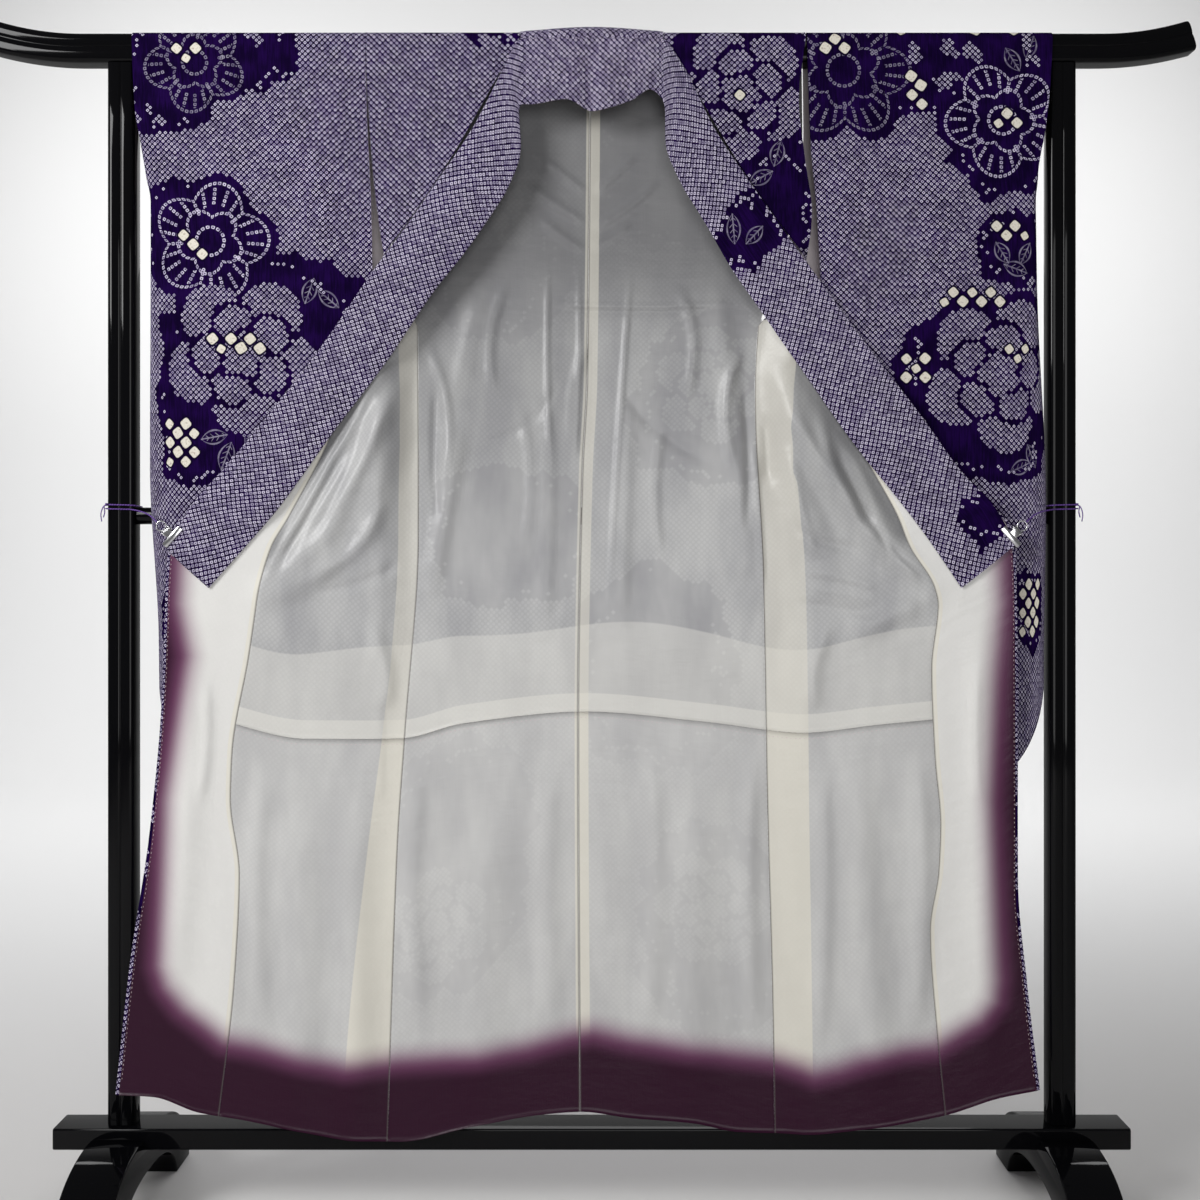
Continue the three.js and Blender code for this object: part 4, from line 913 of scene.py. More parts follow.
def petalled(dx, dy, motif, phase=0.0):
    """How far out and at what angle, how far between two petals, and 1 on the flower's outline."""
    far = (dx * dx + dy * dy).math("SQRT")
    angle = dy.math("ARCTAN2", dx)
    lobes = abs((angle * (motif["petals"] / 2) + phase).math("COSINE"))
    return far, angle, lobes, far / (motif["size"] * (0.72 + 0.28 * lobes))


def either(*masks):
    whole = masks[0]
    for mask in masks[1:]:
        whole = whole.math("MAXIMUM", mask)
    return whole


def squarish(sa, sb):
    """How far out in a cell a place is, on squares with round corners."""
    return (sa * sa * sa * sa + sb * sb * sb * sb).math("POWER", 0.25)


def ringed(sa, sb, swell=1.0):
    """One bound point: a pale, nearly square ring, and the same ring round a dark centre."""
    far = squarish(sa, sb)
    ring = far.smooth(0.395 * swell, 0.30 * swell)
    return ring, ring * (1 - 0.92 * far.smooth(0.20, 0.11))


def strung(along, off):
    """Bound points in a row along a drawn line, from the way along it and the way off it."""
    return ringed((along / STRING).math("FRACT") - 0.5, off / STRING)[1]


def motif_area(motif, dx, dy, drift, chance):
    """Where one motif is, and where its lattice points were bound."""
    size, tall, kind = motif["size"], motif["tall"], motif["kind"]
    if kind in ("cloud", "mist"):  # a patch with a wavy edge: bare, or bound all over
        qx, qy = abs(dx + drift[0]) / size, abs(dy + drift[1]) / tall
        form = qx * qx + qy * qy * qy
        if kind == "mist":
            return form < 1.0, form < 1.0
        beads = (abs(form - 0.62) * min(size, tall) * 0.4 < PITCH * 0.42) * (chance > 0.55)
        return form < 1.0, beads
    if kind == "line":
        q = petalled(dx, dy, motif)[3]
        return q < 1.16, q * 0
    if kind == "full":  # a peony filled with points, its petals parted by bare rows
        far, angle, lobes, q = petalled(dx, dy, motif)
        second, third = petalled(dx, dy, motif, 0.9), petalled(dx, dy, motif, 2.1)
        parts = either(
            abs(second[3] - 0.66) * size < PITCH * 0.6, abs(third[3] - 0.32) * size < PITCH * 0.55,
            (lobes * far < PITCH * 2.0) * (second[3] > 0.66),
            (second[2] * far < PITCH * 1.5) * (third[3] > 0.32) * (second[3] < 0.66),
        )
        return q < 1.13, (q < 1.0) * (1 - parts)
    return abs(dx) > 1e6, dx * 0  # a leaf is only drawn


def drawn(motif, dx, dy):
    """Flowers and leaves drawn in lines: rows of points, or fine stitched lines for leaves."""
    size, tall = motif["size"], motif["tall"]
    if motif["kind"] == "line":
        far, angle, lobes, q = petalled(dx, dy, motif)
        inner = petalled(dx, dy, motif, 1.2)[2]
        count = motif["petals"] * 5
        off = ((angle * (count / (2 * np.pi))).math("FRACT") - 0.5) * (2 * np.pi / count) * far
        rays = strung(far, off) * (q > 0.64) * (q < 0.93)
        return either(
            strung(angle * size * 0.92, far - size * (0.72 + 0.28 * lobes)),
            strung(angle * size * 0.5, far - size * 0.56 * (0.72 + 0.28 * inner)), rays,
            strung(angle * size * 0.2, far - size * 0.24),
        ) * tall
    half = 1 - (dx / size) * (dx / size)
    q = abs(dy) / (half.math("MAXIMUM", 0.02) * tall)
    veins = abs(((dx - abs(dy) * 0.9) * (np.pi / 8)).math("SINE")).smooth(0.36, 0.18) * (q < 0.6)
    lines = either((abs(q - 1) * tall).smooth(1.7, 0.8), abs(dy).smooth(1.3, 0.6), veins)
    return lines * (abs(dx) < size) * 0.36


def loosened(look, x, y):
    """How far the edge of a cloud wanders at a place, across and along."""
    loose = look.node("ShaderNodeTexNoise", inputs={
        "Vector": look.vector(x * 0.02, y * 0.02), "Scale": 1.0, "Detail": 1.5}, out=1)
    loose = look.node("ShaderNodeSeparateXYZ", inputs=[loose])
    return (loose - 0.5) * DRIFT, (Val(look, loose.socket.node.outputs[1]) - 0.5) * DRIFT


def bound(look, x, y, motifs, chance):
    """1 where a point of the cloth was bound, 0 where it was left to take the dye."""
    drift = loosened(look, x, y)
    tied = look.node("ShaderNodeValue") * 0 + 1
    for motif in motifs:
        dx, dy = turned_about(x, y, motif)
        area, points = motif_area(motif, dx, dy, drift, chance)
        tied = tied * (1 - area) + area * points
    return tied


def kanoko(name, motifs, swell=1.0):
    look = Look(name, roughness=0.9, specular_ior_level=0.02)
    across, along = look.cut()
    x, y, la, lb = lattice(look, across, along, PITCH)
    chance = look.chance(x, y)
    tied = bound(look, x, y, [m for m in motifs if m["kind"] not in ("spots", "leaf")], chance)
    wobble = (chance - 0.5) * 0.12
    ring, points = ringed(la + wobble, (lb - wobble) * 1.06, swell)
    ring, points = ring * tied, points * tied
    for motif in motifs:
        if motif["kind"] in ("line", "leaf"):
            line = drawn(motif, *turned_about(across, along, motif))
            points = either(points, line * (1 - tied))
    wear = look.noise(look.vector(across * 0.012, along * 0.012), 2.0, 2.0)
    crepe = look.noise(look.vector(across * 0.42, along * 0.03), 1.0, 2.0)
    ground = look.blend((wear * 0.5 + crepe * 0.5).smooth(0.38, 0.66), DEEP, PURPLE)
    pale = look.blend((chance * 0.6 + wear * 0.4).smooth(0.15, 0.85), WORN, PALE)
    colour = look.blend(points, ground, pale)
    big = [m for m in motifs if m["kind"] == "spots"]
    if big:
        sx, sy, sa, sb = lattice(look, across, along, SPOT)
        luck = look.chance(sx, sy)
        tip = luck * 0.5 - 0.25
        sa, sb = sa + sb * tip + (luck - 0.5) * 0.12, sb - sa * tip
        edge = squarish(sa, sb) / (luck * 0.3 + 0.82)
        spans = [turned_about(sx, sy, m) + (m["size"], m["tall"]) for m in big]
        inside = either(*((abs(dx) < w) * (abs(dy) < h) for dx, dy, w, h in spans))
        colour = look.blend(edge.smooth(0.54, 0.47) * inside, colour, DEEP)
        stain = look.noise(look.vector(across * 0.3, along * 0.3), 1.0, 2.0)
        cream = look.blend(stain.smooth(0.5, 0.75), CREAM, (0.46, 0.39, 0.33))
        colour = look.blend(edge.smooth(0.38, 0.33) * inside, colour, cream)
    look.set("Base Color", colour)
    grain = look.noise(look.vector(across, along * 0.4), 0.9, 2.0)
    look.bump(ring * 0.8 + grain * 0.3, 0.0008, 0.85)
    return look


# Each row is kind, across, down, size, tall, and turn and petals where they aren't 0, in
# millimetres and degrees.
MOTIFS = {
    "sleeve_left": [
        ("cloud", 181, 40, 84, 56), ("cloud", 291, 78, 66, 88), ("cloud", 258, 318, 92, 84),
        ("cloud", 160, 470, 158, 112, 20), ("cloud", 254, 600, 74, 84),
        ("line", 250, 62, 74, 0.42, 10, 5), ("line", 236, 326, 86, 1, 40, 5),
        ("full", 190, 492, 118, 0, 20, 5), ("mist", 160, 26, 15, 12, 45),
        ("mist", 120, 8, 16, 10, 45), ("leaf", 92, 398, 20, 10, 70), ("leaf", 64, 410, 20, 9, -40),
        ("leaf", 232, 612, 20, 10, 10), ("leaf", 214, 640, 22, 11, 70),
        ("leaf", 176, 622, 20, 9, -60), ("cloud", 292, 884, 60, 44), ("spots", 262, 46, 24, 14),
        ("spots", 262, 326, 30, 10, -35), ("spots", 199, 478, 36, 10), ("spots", 284, 616, 24, 34),
        ("spots", 300, 886, 20, 30), ("cloud", 210, -420, 110, 160),
        ("line", 200, -350, 78, 1, 10, 5), ("full", 190, -500, 92, 0, 10, 5),
        ("cloud", 120, -860, 120, 90), ("line", 130, -860, 70, 1, 0, 5),
        ("spots", 250, -440, 22, 24),
    ],
    "sleeve_right": [
        ("cloud", 165, 52, 210, 84), ("cloud", 290, 176, 90, 88), ("cloud", 292, 336, 66, 52),
        ("cloud", 256, 540, 152, 136, -12), ("cloud", 326, 860, 50, 56),
        ("line", 52, 74, 98, 0.42, 0, 6), ("line", 282, 148, 84, 1, 30, 5),
        ("full", 262, 520, 116, 0, 10, 5), ("mist", 165, 50, 16, 13, 45),
        ("mist", 214, 34, 12, 16, 45), ("mist", 244, 46, 15, 12, 45),
        ("mist", 201, 92, 15, 12, 45), ("leaf", 300, 58, 20, 10, 60),
        ("leaf", 326, 40, 18, 9, -70), ("leaf", 268, 342, 18, 10, 60),
        ("leaf", 304, 344, 18, 9, 120), ("leaf", 288, 366, 20, 10, 20),
        ("leaf", 318, 640, 20, 10, 60), ("leaf", 296, 656, 20, 10, -20), ("spots", 42, 32, 16, 10),
        ("spots", 158, 102, 14, 26), ("spots", 284, 142, 22, 10), ("spots", 148, 12, 12, 9),
        ("spots", 240, 12, 12, 9), ("spots", 304, 8, 12, 9), ("spots", 224, 408, 48, 11),
        ("spots", 286, 312, 28, 11), ("spots", 284, 488, 22, 10), ("spots", 134, 508, 20, 20),
        ("spots", 326, 862, 28, 40), ("cloud", 180, -380, 130, 150),
        ("full", 190, -370, 92, 0, 10, 5), ("cloud", 220, -800, 100, 120),
        ("line", 220, -790, 76, 1, 10, 5), ("leaf", 110, -560, 24, 11, 30),
        ("spots", 110, -440, 20, 24),
    ],
    "front_right": [
        ("cloud", 90, 112, 112, 130, 8), ("cloud", 34, 262, 52, 78),
        ("full", 96, 108, 104, 0, 10, 5), ("leaf", 42, 196, 20, 10, 75),
        ("leaf", 66, 232, 20, 10, 30), ("spots", 98, 108, 24, 10),
    ],
    "front_left": [
        ("cloud", 160, 0, 70, 30),
    ],
    "back_right": [
        ("cloud", 120, 210, 130, 120, -12), ("line", 110, 200, 80, 1, 0, 6),
        ("leaf", 200, 290, 26, 12, 30), ("cloud", 200, 560, 130, 130, 12),
        ("full", 190, 540, 90, 0, 20, 6), ("leaf", 90, 610, 26, 12, 60),
        ("spots", 120, 440, 32, 14), ("cloud", 110, 960, 120, 150),
        ("line", 120, 900, 76, 1, 30, 5), ("leaf", 70, 1030, 26, 12, -50),
        ("cloud", 200, 1330, 110, 150), ("full", 196, 1300, 86, 0, 0, 6),
        ("leaf", 100, 1380, 26, 12, 40), ("spots", 70, 1200, 18, 34),
    ],
    "back_left": [
        ("cloud", 150, 300, 118, 170, 10), ("full", 150, 250, 88, 0, 10, 6),
        ("leaf", 96, 380, 26, 12, 50), ("leaf", 210, 400, 26, 12, -40),
        ("cloud", 110, 760, 120, 110), ("line", 120, 760, 78, 1, 20, 5),
        ("leaf", 206, 800, 26, 12, 70), ("cloud", 190, 1240, 120, 190, -8),
        ("line", 150, 1160, 74, 1, 0, 5), ("full", 214, 1320, 86, 0, 30, 6),
        ("leaf", 110, 1300, 26, 12, 60), ("spots", 60, 600, 34, 16), ("spots", 240, 1010, 18, 36),
    ],
    "gore": [
        ("cloud", 70, 300, 76, 110), ("line", 74, 300, 56, 1, 10, 5), ("cloud", 80, 880, 76, 120),
        ("full", 84, 880, 60, 0, 10, 6),
    ],
    "collar": [
        ("cloud", 4, 1895, 52, 44, 10), ("cloud", 44, 1372, 62, 48, 20),
        ("leaf", 60, 1350, 22, 10, 60), ("leaf", 40, 1376, 18, 9, 10),
    ],
}
KEYS = "kind across down size tall turn petals".split()
for place_name, rows in MOTIFS.items():
    MOTIFS[place_name] = [dict(zip(KEYS, (*row, 0, 0))) for row in rows]
SILK = {name: kanoko("kanoko_" + name, rows, 1.08 if name == "collar" else 1.0)
        for name, rows in MOTIFS.items()}
print({name: len(look.tree.nodes) for name, look in SILK.items()}, "nodes")

# %% [markdown]
# The lining is plain thin silk with a satin face: it shades softly, shows the dyed shell faintly
# through itself, and its turned-in seam edges make paler strips. The hem lining is dyed from white
# to plum at the hem and front edges. Where the strips lie, and where shade is painted into the
# upper linings, is worked out for each point of the cloth and kept as an attribute, in millimetres
# inside the line. A dark line is also painted along a sewn edge, as painted shadow in its groove.

# %% Lining silk
WHITE, SILVER, TRIM = (0.51, 0.51, 0.505), (0.36, 0.36, 0.37), (0.78, 0.745, 0.64)
PLUM, ROSE = (0.023, 0.0003, 0.0135), (0.20, 0.065, 0.15)


def lining_silk(name, motifs, plum, lift=0.0):
    """Plain silk over a dyed shell; lift makes it whiter, and plum silk is dyed at its edges."""
    look = Look(
        name, roughness=0.34, sheen_weight=0.02, sheen_roughness=0.4, specular_ior_level=0.27)
    across, along = look.cut()
    soft = look.noise(look.vector(across * 0.006, along * 0.002), 3.0, 3.0)
    tone = [tuple(mix(np.array(c), np.array((0.82, 0.81, 0.78)), lift)) for c in (SILVER, WHITE)]
    colour = look.blend(soft.smooth(0.25, 0.75), *tone)
    x, y, la, lb = lattice(look, across, along, PITCH)
    shapes = [m for m in motifs if m["kind"] not in ("spots", "leaf")]
    tied = bound(look, x, y, shapes, look.noise(look.vector(x, y), 3.0, 0.0))
    dots = (la * la + lb * lb).smooth(0.22, 0.06) * tied
    show = look.blend(tied, (0.88, 0.875, 0.89), (0.96, 0.96, 0.965))
    show = look.blend(dots * 0.8, show, (1.10, 1.10, 1.10))
    colour = look.node("ShaderNodeMix", {"data_type": "RGBA", "blend_type": "MULTIPLY"},
                       {0: (0.5 if plum else 0.8) * (1 - lift), 6: colour, 7: show}, out=2)
    if not plum:
        # The first mark is painted shade, darkening the upper lining towards grey-black; the two laps
        # are paler bands of the lining itself.
        for mark, share, tint in (
            (look.attribute("dim").smooth(0, 1), 0.78, (0.13, 0.13, 0.135)),
            (look.attribute("lap_over").smooth(-1.5, 1.5), 0.42, (0.74, 0.73, 0.69)),
            (look.attribute("lap").smooth(-1, 1), 0.5, (0.78, 0.765, 0.71)),
        ):
            colour = look.blend(mark * share, colour, tint)
    trim = look.attribute("trim").smooth(-0.8, 0.8)
    colour = look.blend(trim * (0.7 if plum else 0.45), colour, TRIM)
    if plum:
        fringe = look.attribute("plum")
        colour = look.blend(fringe.smooth(-34, 14), colour, ROSE)
        colour = look.blend(fringe.smooth(-14, 34), colour, PLUM)
    # Painted shadow: a dark line along one sewn edge of each lining panel, where the seam's groove
    # lies.
    seam = across.smooth(2.6, 0.6)
    colour = look.blend(seam * 0.62, colour, (0.10, 0.09, 0.085))
    look.set("Base Color", colour)
    weave = look.noise(look.vector(across * 0.35, along * 0.03), 1.0, 3.0)
    slub = look.noise(look.vector(across * 0.02, along * 0.05), 1.0, 3.0)
    look.bump(weave * 0.25 + slub * 1.6, 0.0014, 0.5)
    return look


LINING = {name: lining_silk("lining_" + name, MOTIFS[name], True, 0.85 if name == "gore" else 0.3)
          for name in ("back_left", "back_right", "front_left", "front_right", "gore")}
UPPER = {name: lining_silk("upper_lining_" + name, MOTIFS[name], False)
         for name in ("back_left", "back_right", "front_left", "front_right")}
INSIDE = Look("sleeve_lining", base_color=(0.62, 0.56, 0.58, 1), roughness=0.5, sheen_weight=0.2)
print("linings", len(LINING) + len(UPPER))

# %% [markdown]
# A maker closes the lining with rows of small running stitches. One short thread is modelled once,
# and Geometry Nodes lay it along a seam: the path is cut into even steps, a thread is placed on
# each step and turned along the path, and a fixed seed makes the lengths a little uneven, as they
# are by hand. Turning the result into a mesh keeps the stitches as plain geometry.

# %% Running stitches
thread = Look("silk_thread", base_color=(0.62, 0.5, 0.52, 1), roughness=0.5)


def stitch_tree():
    tree = bpy.data.node_groups.new("running_stitch", "GeometryNodeTree")
    face, ids = tree.interface, {}
    face.new_socket("Path", in_out="INPUT", socket_type="NodeSocketGeometry")
    for name, kind in (("Spacing", "Float"), ("Length", "Float"), ("Thickness", "Float"),
                       ("Seed", "Int"), ("Thread", "Material")):
        made = face.new_socket(name, in_out="INPUT", socket_type="NodeSocket" + kind)
        ids[name] = made.identifier
    face.new_socket("Stitches", in_out="OUTPUT", socket_type="NodeSocketGeometry")
    start, end = tree.nodes.new("NodeGroupInput"), tree.nodes.new("NodeGroupOutput")

    def add(kind, links, **settings):
        node = tree.nodes.new(kind)
        for key, value in settings.items():
            setattr(node, key, value)
        for key, value in links.items():
            if isinstance(value, bpy.types.NodeSocket):
                tree.links.new(value, node.inputs[key])
            else:
                node.inputs[key].default_value = value
        return node

    line = add("GeometryNodeMeshToCurve", {"Mesh": start.outputs["Path"]})
    steps = add("GeometryNodeResampleCurve", {
        "Curve": line.outputs[0], "Length": start.outputs["Spacing"]}, mode="LENGTH")
    ball = add("GeometryNodeMeshIcoSphere", {"Radius": 0.5, "Subdivisions": 1})
    size = add("ShaderNodeCombineXYZ", {
        "X": start.outputs["Length"], "Y": start.outputs["Thickness"],
        "Z": start.outputs["Thickness"]})
    one = add("GeometryNodeTransform", {"Geometry": ball.outputs["Mesh"], "Scale": size.outputs[0]})
    ahead = add("GeometryNodeInputTangent", {})
    turned = add("FunctionNodeAlignRotationToVector", {"Vector": ahead.outputs[0]}, axis="X")
    uneven = add("FunctionNodeRandomValue", {"Seed": start.outputs["Seed"]}, data_type="FLOAT")
    uneven.inputs[2].default_value, uneven.inputs[3].default_value = 0.78, 1.12
    laid = add("GeometryNodeInstanceOnPoints", {
        "Points": steps.outputs[0], "Instance": one.outputs[0], "Rotation": turned.outputs[0],
        "Scale": uneven.outputs[1]})
    real = add("GeometryNodeRealizeInstances", {"Geometry": laid.outputs[0]})
    done = add("GeometryNodeSetMaterial", {
        "Geometry": real.outputs[0], "Material": start.outputs["Thread"]})
    tree.links.new(done.outputs[0], end.inputs[0])
    return tree, ids


STITCH_TREE, STITCH_INPUTS = stitch_tree()


def stitched(name, path, spacing=6.5, length=3.4, thickness=0.75):
    """Running stitches along a path in millimetres, as a plain mesh."""
    path = np.asarray(path) * MM
    mesh = bpy.data.meshes.new(name)
    mesh.from_pydata([tuple(p) for p in path], [(i, i + 1) for i in range(len(path) - 1)], [])
    sewn = bpy.data.objects.new(name, mesh)
    bpy.context.scene.collection.objects.link(sewn)
    lay = sewn.modifiers.new("running_stitch", "NODES")
    lay.node_group = STITCH_TREE
    values = {"Spacing": spacing * MM, "Length": length * MM, "Thickness": thickness * MM,
              "Seed": 7, "Thread": thread.material}
    for key, value in values.items():
        lay[STITCH_INPUTS[key]] = value
    view = bpy.context.evaluated_depsgraph_get()
    plain = bpy.data.meshes.new_from_object(sewn.evaluated_get(view), depsgraph=view)
    sewn.modifiers.clear()
    sewn.data = plain
    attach(sewn, "root")
    print(name, len(plain.polygons), "faces")
    return sewn


# %% [markdown]
# Silk is far thinner than any wall that a solid can have, so each panel is a closed shell a few
# tenths of a millimetre thick, on the same surface as its solid. Its edges dip a little where they
# are sewn, which draws the seams. Distance across and along the cloth becomes its cut coordinates.

# %% Panels
DIP_WIDE = 1.6


def seamed(n):
    """Columns across a panel, close together at its sewn edges."""
    near = np.array([0, 0.003, 0.008, 0.016, 0.026])
    return np.r_[near, np.linspace(0.026, 0.974, n)[1:-1], 1 - near[::-1]]


def surface(place, us, vs, turned):
    u, v = np.meshgrid(us, vs)
    at, step = place(u, v), 1e-3
    du = place(u + step, v) - place(u - step, v)
    dv = place(u, v + step) - place(u, v - step)
    normal = np.cross(du, dv)
    normal *= turned / np.maximum(1e-9, np.linalg.norm(normal, axis=-1, keepdims=True))
    return at, normal


def cut_lengths(at):
    across = np.linalg.norm(np.diff(at, axis=1), axis=-1)
    along = np.linalg.norm(np.diff(at, axis=0), axis=-1)
    across = np.pad(np.cumsum(across, axis=1), ((0, 0), (1, 0)))
    along = np.pad(np.cumsum(along, axis=0), ((1, 0), (0, 0)))
    return across, along


def shell_faces(rows, cols):
    half = rows * cols
    near = grid_faces(rows, cols)
    faces = near + [tuple(i + half for i in f[::-1]) for f in near]
    rim = [r * cols for r in range(rows)] + [(rows - 1) * cols + c for c in range(1, cols)]
    rim += [r * cols + cols - 1 for r in range(rows - 2, -1, -1)] + list(range(cols - 2, 0, -1))
    for i, a in enumerate(rim):
        b = rim[(i + 1) % len(rim)]
        faces.append((b, a, a + half, b + half))
    return faces


def cloth(name, at, normal, near, far, material, uv, slot="shell", replaces=(), dip=0.0, marks=None,
          gap=None):
    """A closed shell between two offsets of a surface, with named values kept at its points."""
    across, along = uv
    if dip:
        if gap is None:
            gap = np.minimum(across, across[:, -1:] - across)
        at = at - normal * (dip * np.exp(-((gap / DIP_WIDE) ** 2)))[..., None]
    rows, cols = at.shape[:2]
    points = np.r_[(at + normal * near).reshape(-1, 3), (at + normal * far).reshape(-1, 3)]
    flat = np.stack([across, along], axis=-1).reshape(-1, 2)
    faces = outward(points, shell_faces(rows, cols))
    made = put(name, points, faces, material, slot, uv=np.r_[flat, flat])
    for key, value in (marks or {}).items():
        layer = made.data.attributes.new(key, "FLOAT", "POINT")
        layer.data.foreach_set("value", np.tile(np.broadcast_to(value, (rows, cols)).ravel(), 2))
    if replaces:
        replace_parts(made, *replaces)
    return made


# %% Where the lining is plum
PLUM_LINE = np.array([
    (-592, 1010), (-598, 898), (-583, 823), (-618, 614), (-621, 504), (-626, 374), (-616, 345),
    (-590, 312), (-561, 290), (-532, 266), (-488, 257), (-414, 237), (-359, 226), (-279, 233),
    (-168, 240), (-93, 253), (-37, 269), (3, 276), (56, 263), (130, 253), (204, 243), (259, 236),
    (303, 224), (324, 216), (357, 223), (395, 238), (450, 251), (497, 257), (523, 273), (561, 297),
    (583, 324), (587, 355), (584, 429), (580, 540), (577, 614), (586, 800), (594, 898), (588, 1010),
], float)


def from_line(line, x, z):
    """How far a place is from a line of straight stretches."""
    near = np.full(x.shape, 1e9)
    for (ax, az), (bx, bz) in zip(line[:-1], line[1:]):
        dx, dz = bx - ax, bz - az
        t = clamp01(((x - ax) * dx + (z - az) * dz) / (dx**2 + dz**2))
        near = np.minimum(near, np.hypot(x - ax - t * dx, z - az - t * dz))
    return near


def inside_plum(x, z):
    """Millimetres inside the plum line, and less than nothing above it."""
    far = from_line(PLUM_LINE, x, z)
    ring = np.r_[PLUM_LINE, [(900, 1010), (900, 0), (-900, 0), (-900, 1010)]]
    within = np.zeros(x.shape, bool)
    for (ax, az), (bx, bz) in zip(ring, np.roll(ring, -1, axis=0)):
        if az != bz:
            crosses = (az > z) != (bz > z)
            within ^= crosses & (x < (bx - ax) * (z - az) / (bz - az) + ax)
    return np.where(within, far, -far)


low_middle = inside_plum(np.array([0.0]), np.array([200.0]))[0]
print("plum 40 mm above the hem", round(float(low_middle)), "mm in")

# %% Body lengths, gores and their linings
WALL = SimpleNamespace(shell=(-0.15, -0.85), lining=(0.35, 0.75))
BODY_BAR = np.linspace(-2, -1, 9)[:-1]
quick = 1.0


def rows_of(a, b, n):
    return np.linspace(a, b, max(4, int(n * quick)))


PAINTED_HOLLOW_SHADE = {  # lines beside the collar along which shade is painted on a front's lining
    "left": [(-300, 1236), (-352, 1176), (-426, 1062), (-476, 966)],
    "right": [(300, 1250), (330, 1206), (398, 1108), (452, 1004)],
}


STRIPS = {  # how wide a panel's turned-in seam edge is, at its top and at its hem
    "back_left": (5, 5), "back_right": (15, 15), "front_left": (30, 66), "front_right": (62, 56),
    "gore_left": (7, 7), "gore_right": (7, 7),
}
# Shade painted on the upper part of each front's lining, darker on the right.
FRONT_PAINTED_SHADE = {"left": 0.10, "right": 0.34}


def lining_marks(at, across, panel, name):
    """How far inside each pale strip, lap and plum edge a point is, and how much shade is painted
    there.
    """
    x, z = at[..., 0], at[..., 2]
    strip = mix(*STRIPS[f"{panel}_{name}"], ease((830 - z) / 700)) - across
    above = z - join_z(x)
    lap_over = 128 + 8 * np.sin(x / 60) - above
    # Painted shade: darker towards the top of each lining, in bands along the collar on the fronts, and
    # across the middle of the backs, more on the left.
    if panel == "front":
        dim = FRONT_PAINTED_SHADE[name] * ease((z - 840) / 260)
        dim = dim + 0.62 * np.exp(-((from_line(PAINTED_HOLLOW_SHADE[name], x, z) / 19) ** 2))
    else:
        dim = 0.38 * ease((z - 900) / 420) + 0.70 * ease((z - 1270) / 200)
        middle = ease((z - 860) / 160) * (1 - ease((z - 1290) / 100))
        dim = dim + np.where(x < 0, 0.16, 0.04) * middle
    return {"trim": strip, "lap": 27 - above, "lap_over": lap_over, "dim": dim,
            "plum": inside_plum(x, z)}


def flat_area(at):
    """Area of a sheet, in square metres."""
    a = np.cross(at[1:, 1:] - at[:-1, :-1], at[:-1, 1:] - at[1:, :-1])
    across, along = cut_lengths(at)
    whole = float(across.max() * along.max())
    return min(float(np.linalg.norm(a, axis=-1).sum() / 2), whole) * 1e-6


PEEK = 0.035  # how much of a gore's shell shows past its lining, as a share of its width
JOIN_ROW = 1.012  # the level of the stitches below the lining join


def silk_panel(kind, name, side, place, cols, levels, linings):
    """One panel of the shell and the linings behind it, each (part, levels, opened a little)."""
    key = "gore" if kind == "gore" else f"{kind}_{name}"
    us, turned = seamed(cols), -side.sign
    at, normal = surface(place, us, levels, turned)
    uv = cut_lengths(at)
    grain = uv
    if kind == "front":  # cloth hangs with its grain upright, however its edges slant
        hang = WRAP_RUN + SHOULDER_Z - at[..., 2]
        grain = (side.back_x(SHOULDER_Z) - side.sign * at[..., 0],
                 np.where(levels[:, None] < -1, uv[1], hang))
    edge = np.minimum(uv[0], uv[0][:, -1:] - uv[0])
    shell = cloth(f"silk_{kind}_{name}", at, normal, *WALL.shell, SILK[key].material, grain,
                  replaces=[f"{kind}_{name}"], dip=0.5, gap=edge)
    flat_area(at)
    for part, span, low in linings:
        rows = levels[(levels >= span[0] - 1e-9) & (levels <= span[1] + 1e-9)]
        slit = np.array(rows)
        slit[0] += 0.0003 if low else 0.0
        short = us * (1 - PEEK * ease((us - 0.6) / 0.4)) if kind == "gore" else us
        at, normal = surface(place, short, slit, turned)
        start = np.interp(rows[0], levels, uv[1].mean(1))
        across, along = cut_lengths(at)
        dress, slot = (LINING, "hem_lining") if part == "hem" else (UPPER, "lining")
        marks = lining_marks(at, across, kind, name)
        made = cloth(f"silk_{part}_{kind}_{name}", at, normal, *WALL.lining, dress[key].material,
                     (across, along + start), slot, [f"{part}_{kind}_{name}"], 0.4, marks)
        sewn = []
        if part == "hem":
            raised = at + normal * (WALL.lining[1] + 0.15)
            join = raised[np.abs(slit - JOIN_ROW).argmin(), 3:-3]
            path = raised[6:-3, -4] if kind == "gore" else join
            sewn = [stitched(f"stitches_{kind}_{name}", path)]
        flat_area(at)


FRONT_LINING_TOP, BACK_LINING_TOP = -0.02, -0.92
for name, side in (("left", LEFT), ("right", RIGHT)):
    body = np.unique(np.r_[rows_of(0, 1, 96), rows_of(1, 2, 72)])
    levels = np.unique(np.r_[BODY_BAR, BACK_LINING_TOP, rows_of(-1, 0, 110), body])
    silk_panel("back", name, side, back_place(side), int(86 * quick), levels,
               [("lining", (BACK_LINING_TOP, 1), False), ("hem", (1, 2), True)])
    levels = np.unique(np.r_[BODY_BAR, FRONT_LINING_TOP, rows_of(-1, 0, 60), body])
    silk_panel("front", name, side, front_place(side), int(70 * quick), levels,
               [("lining", (FRONT_LINING_TOP, 1), False), ("hem", (1, 2), True)])
    silk_panel("gore", name, side, gore_place(side), 28, body, [("hem", (0, 2), False)])
print("panels done")

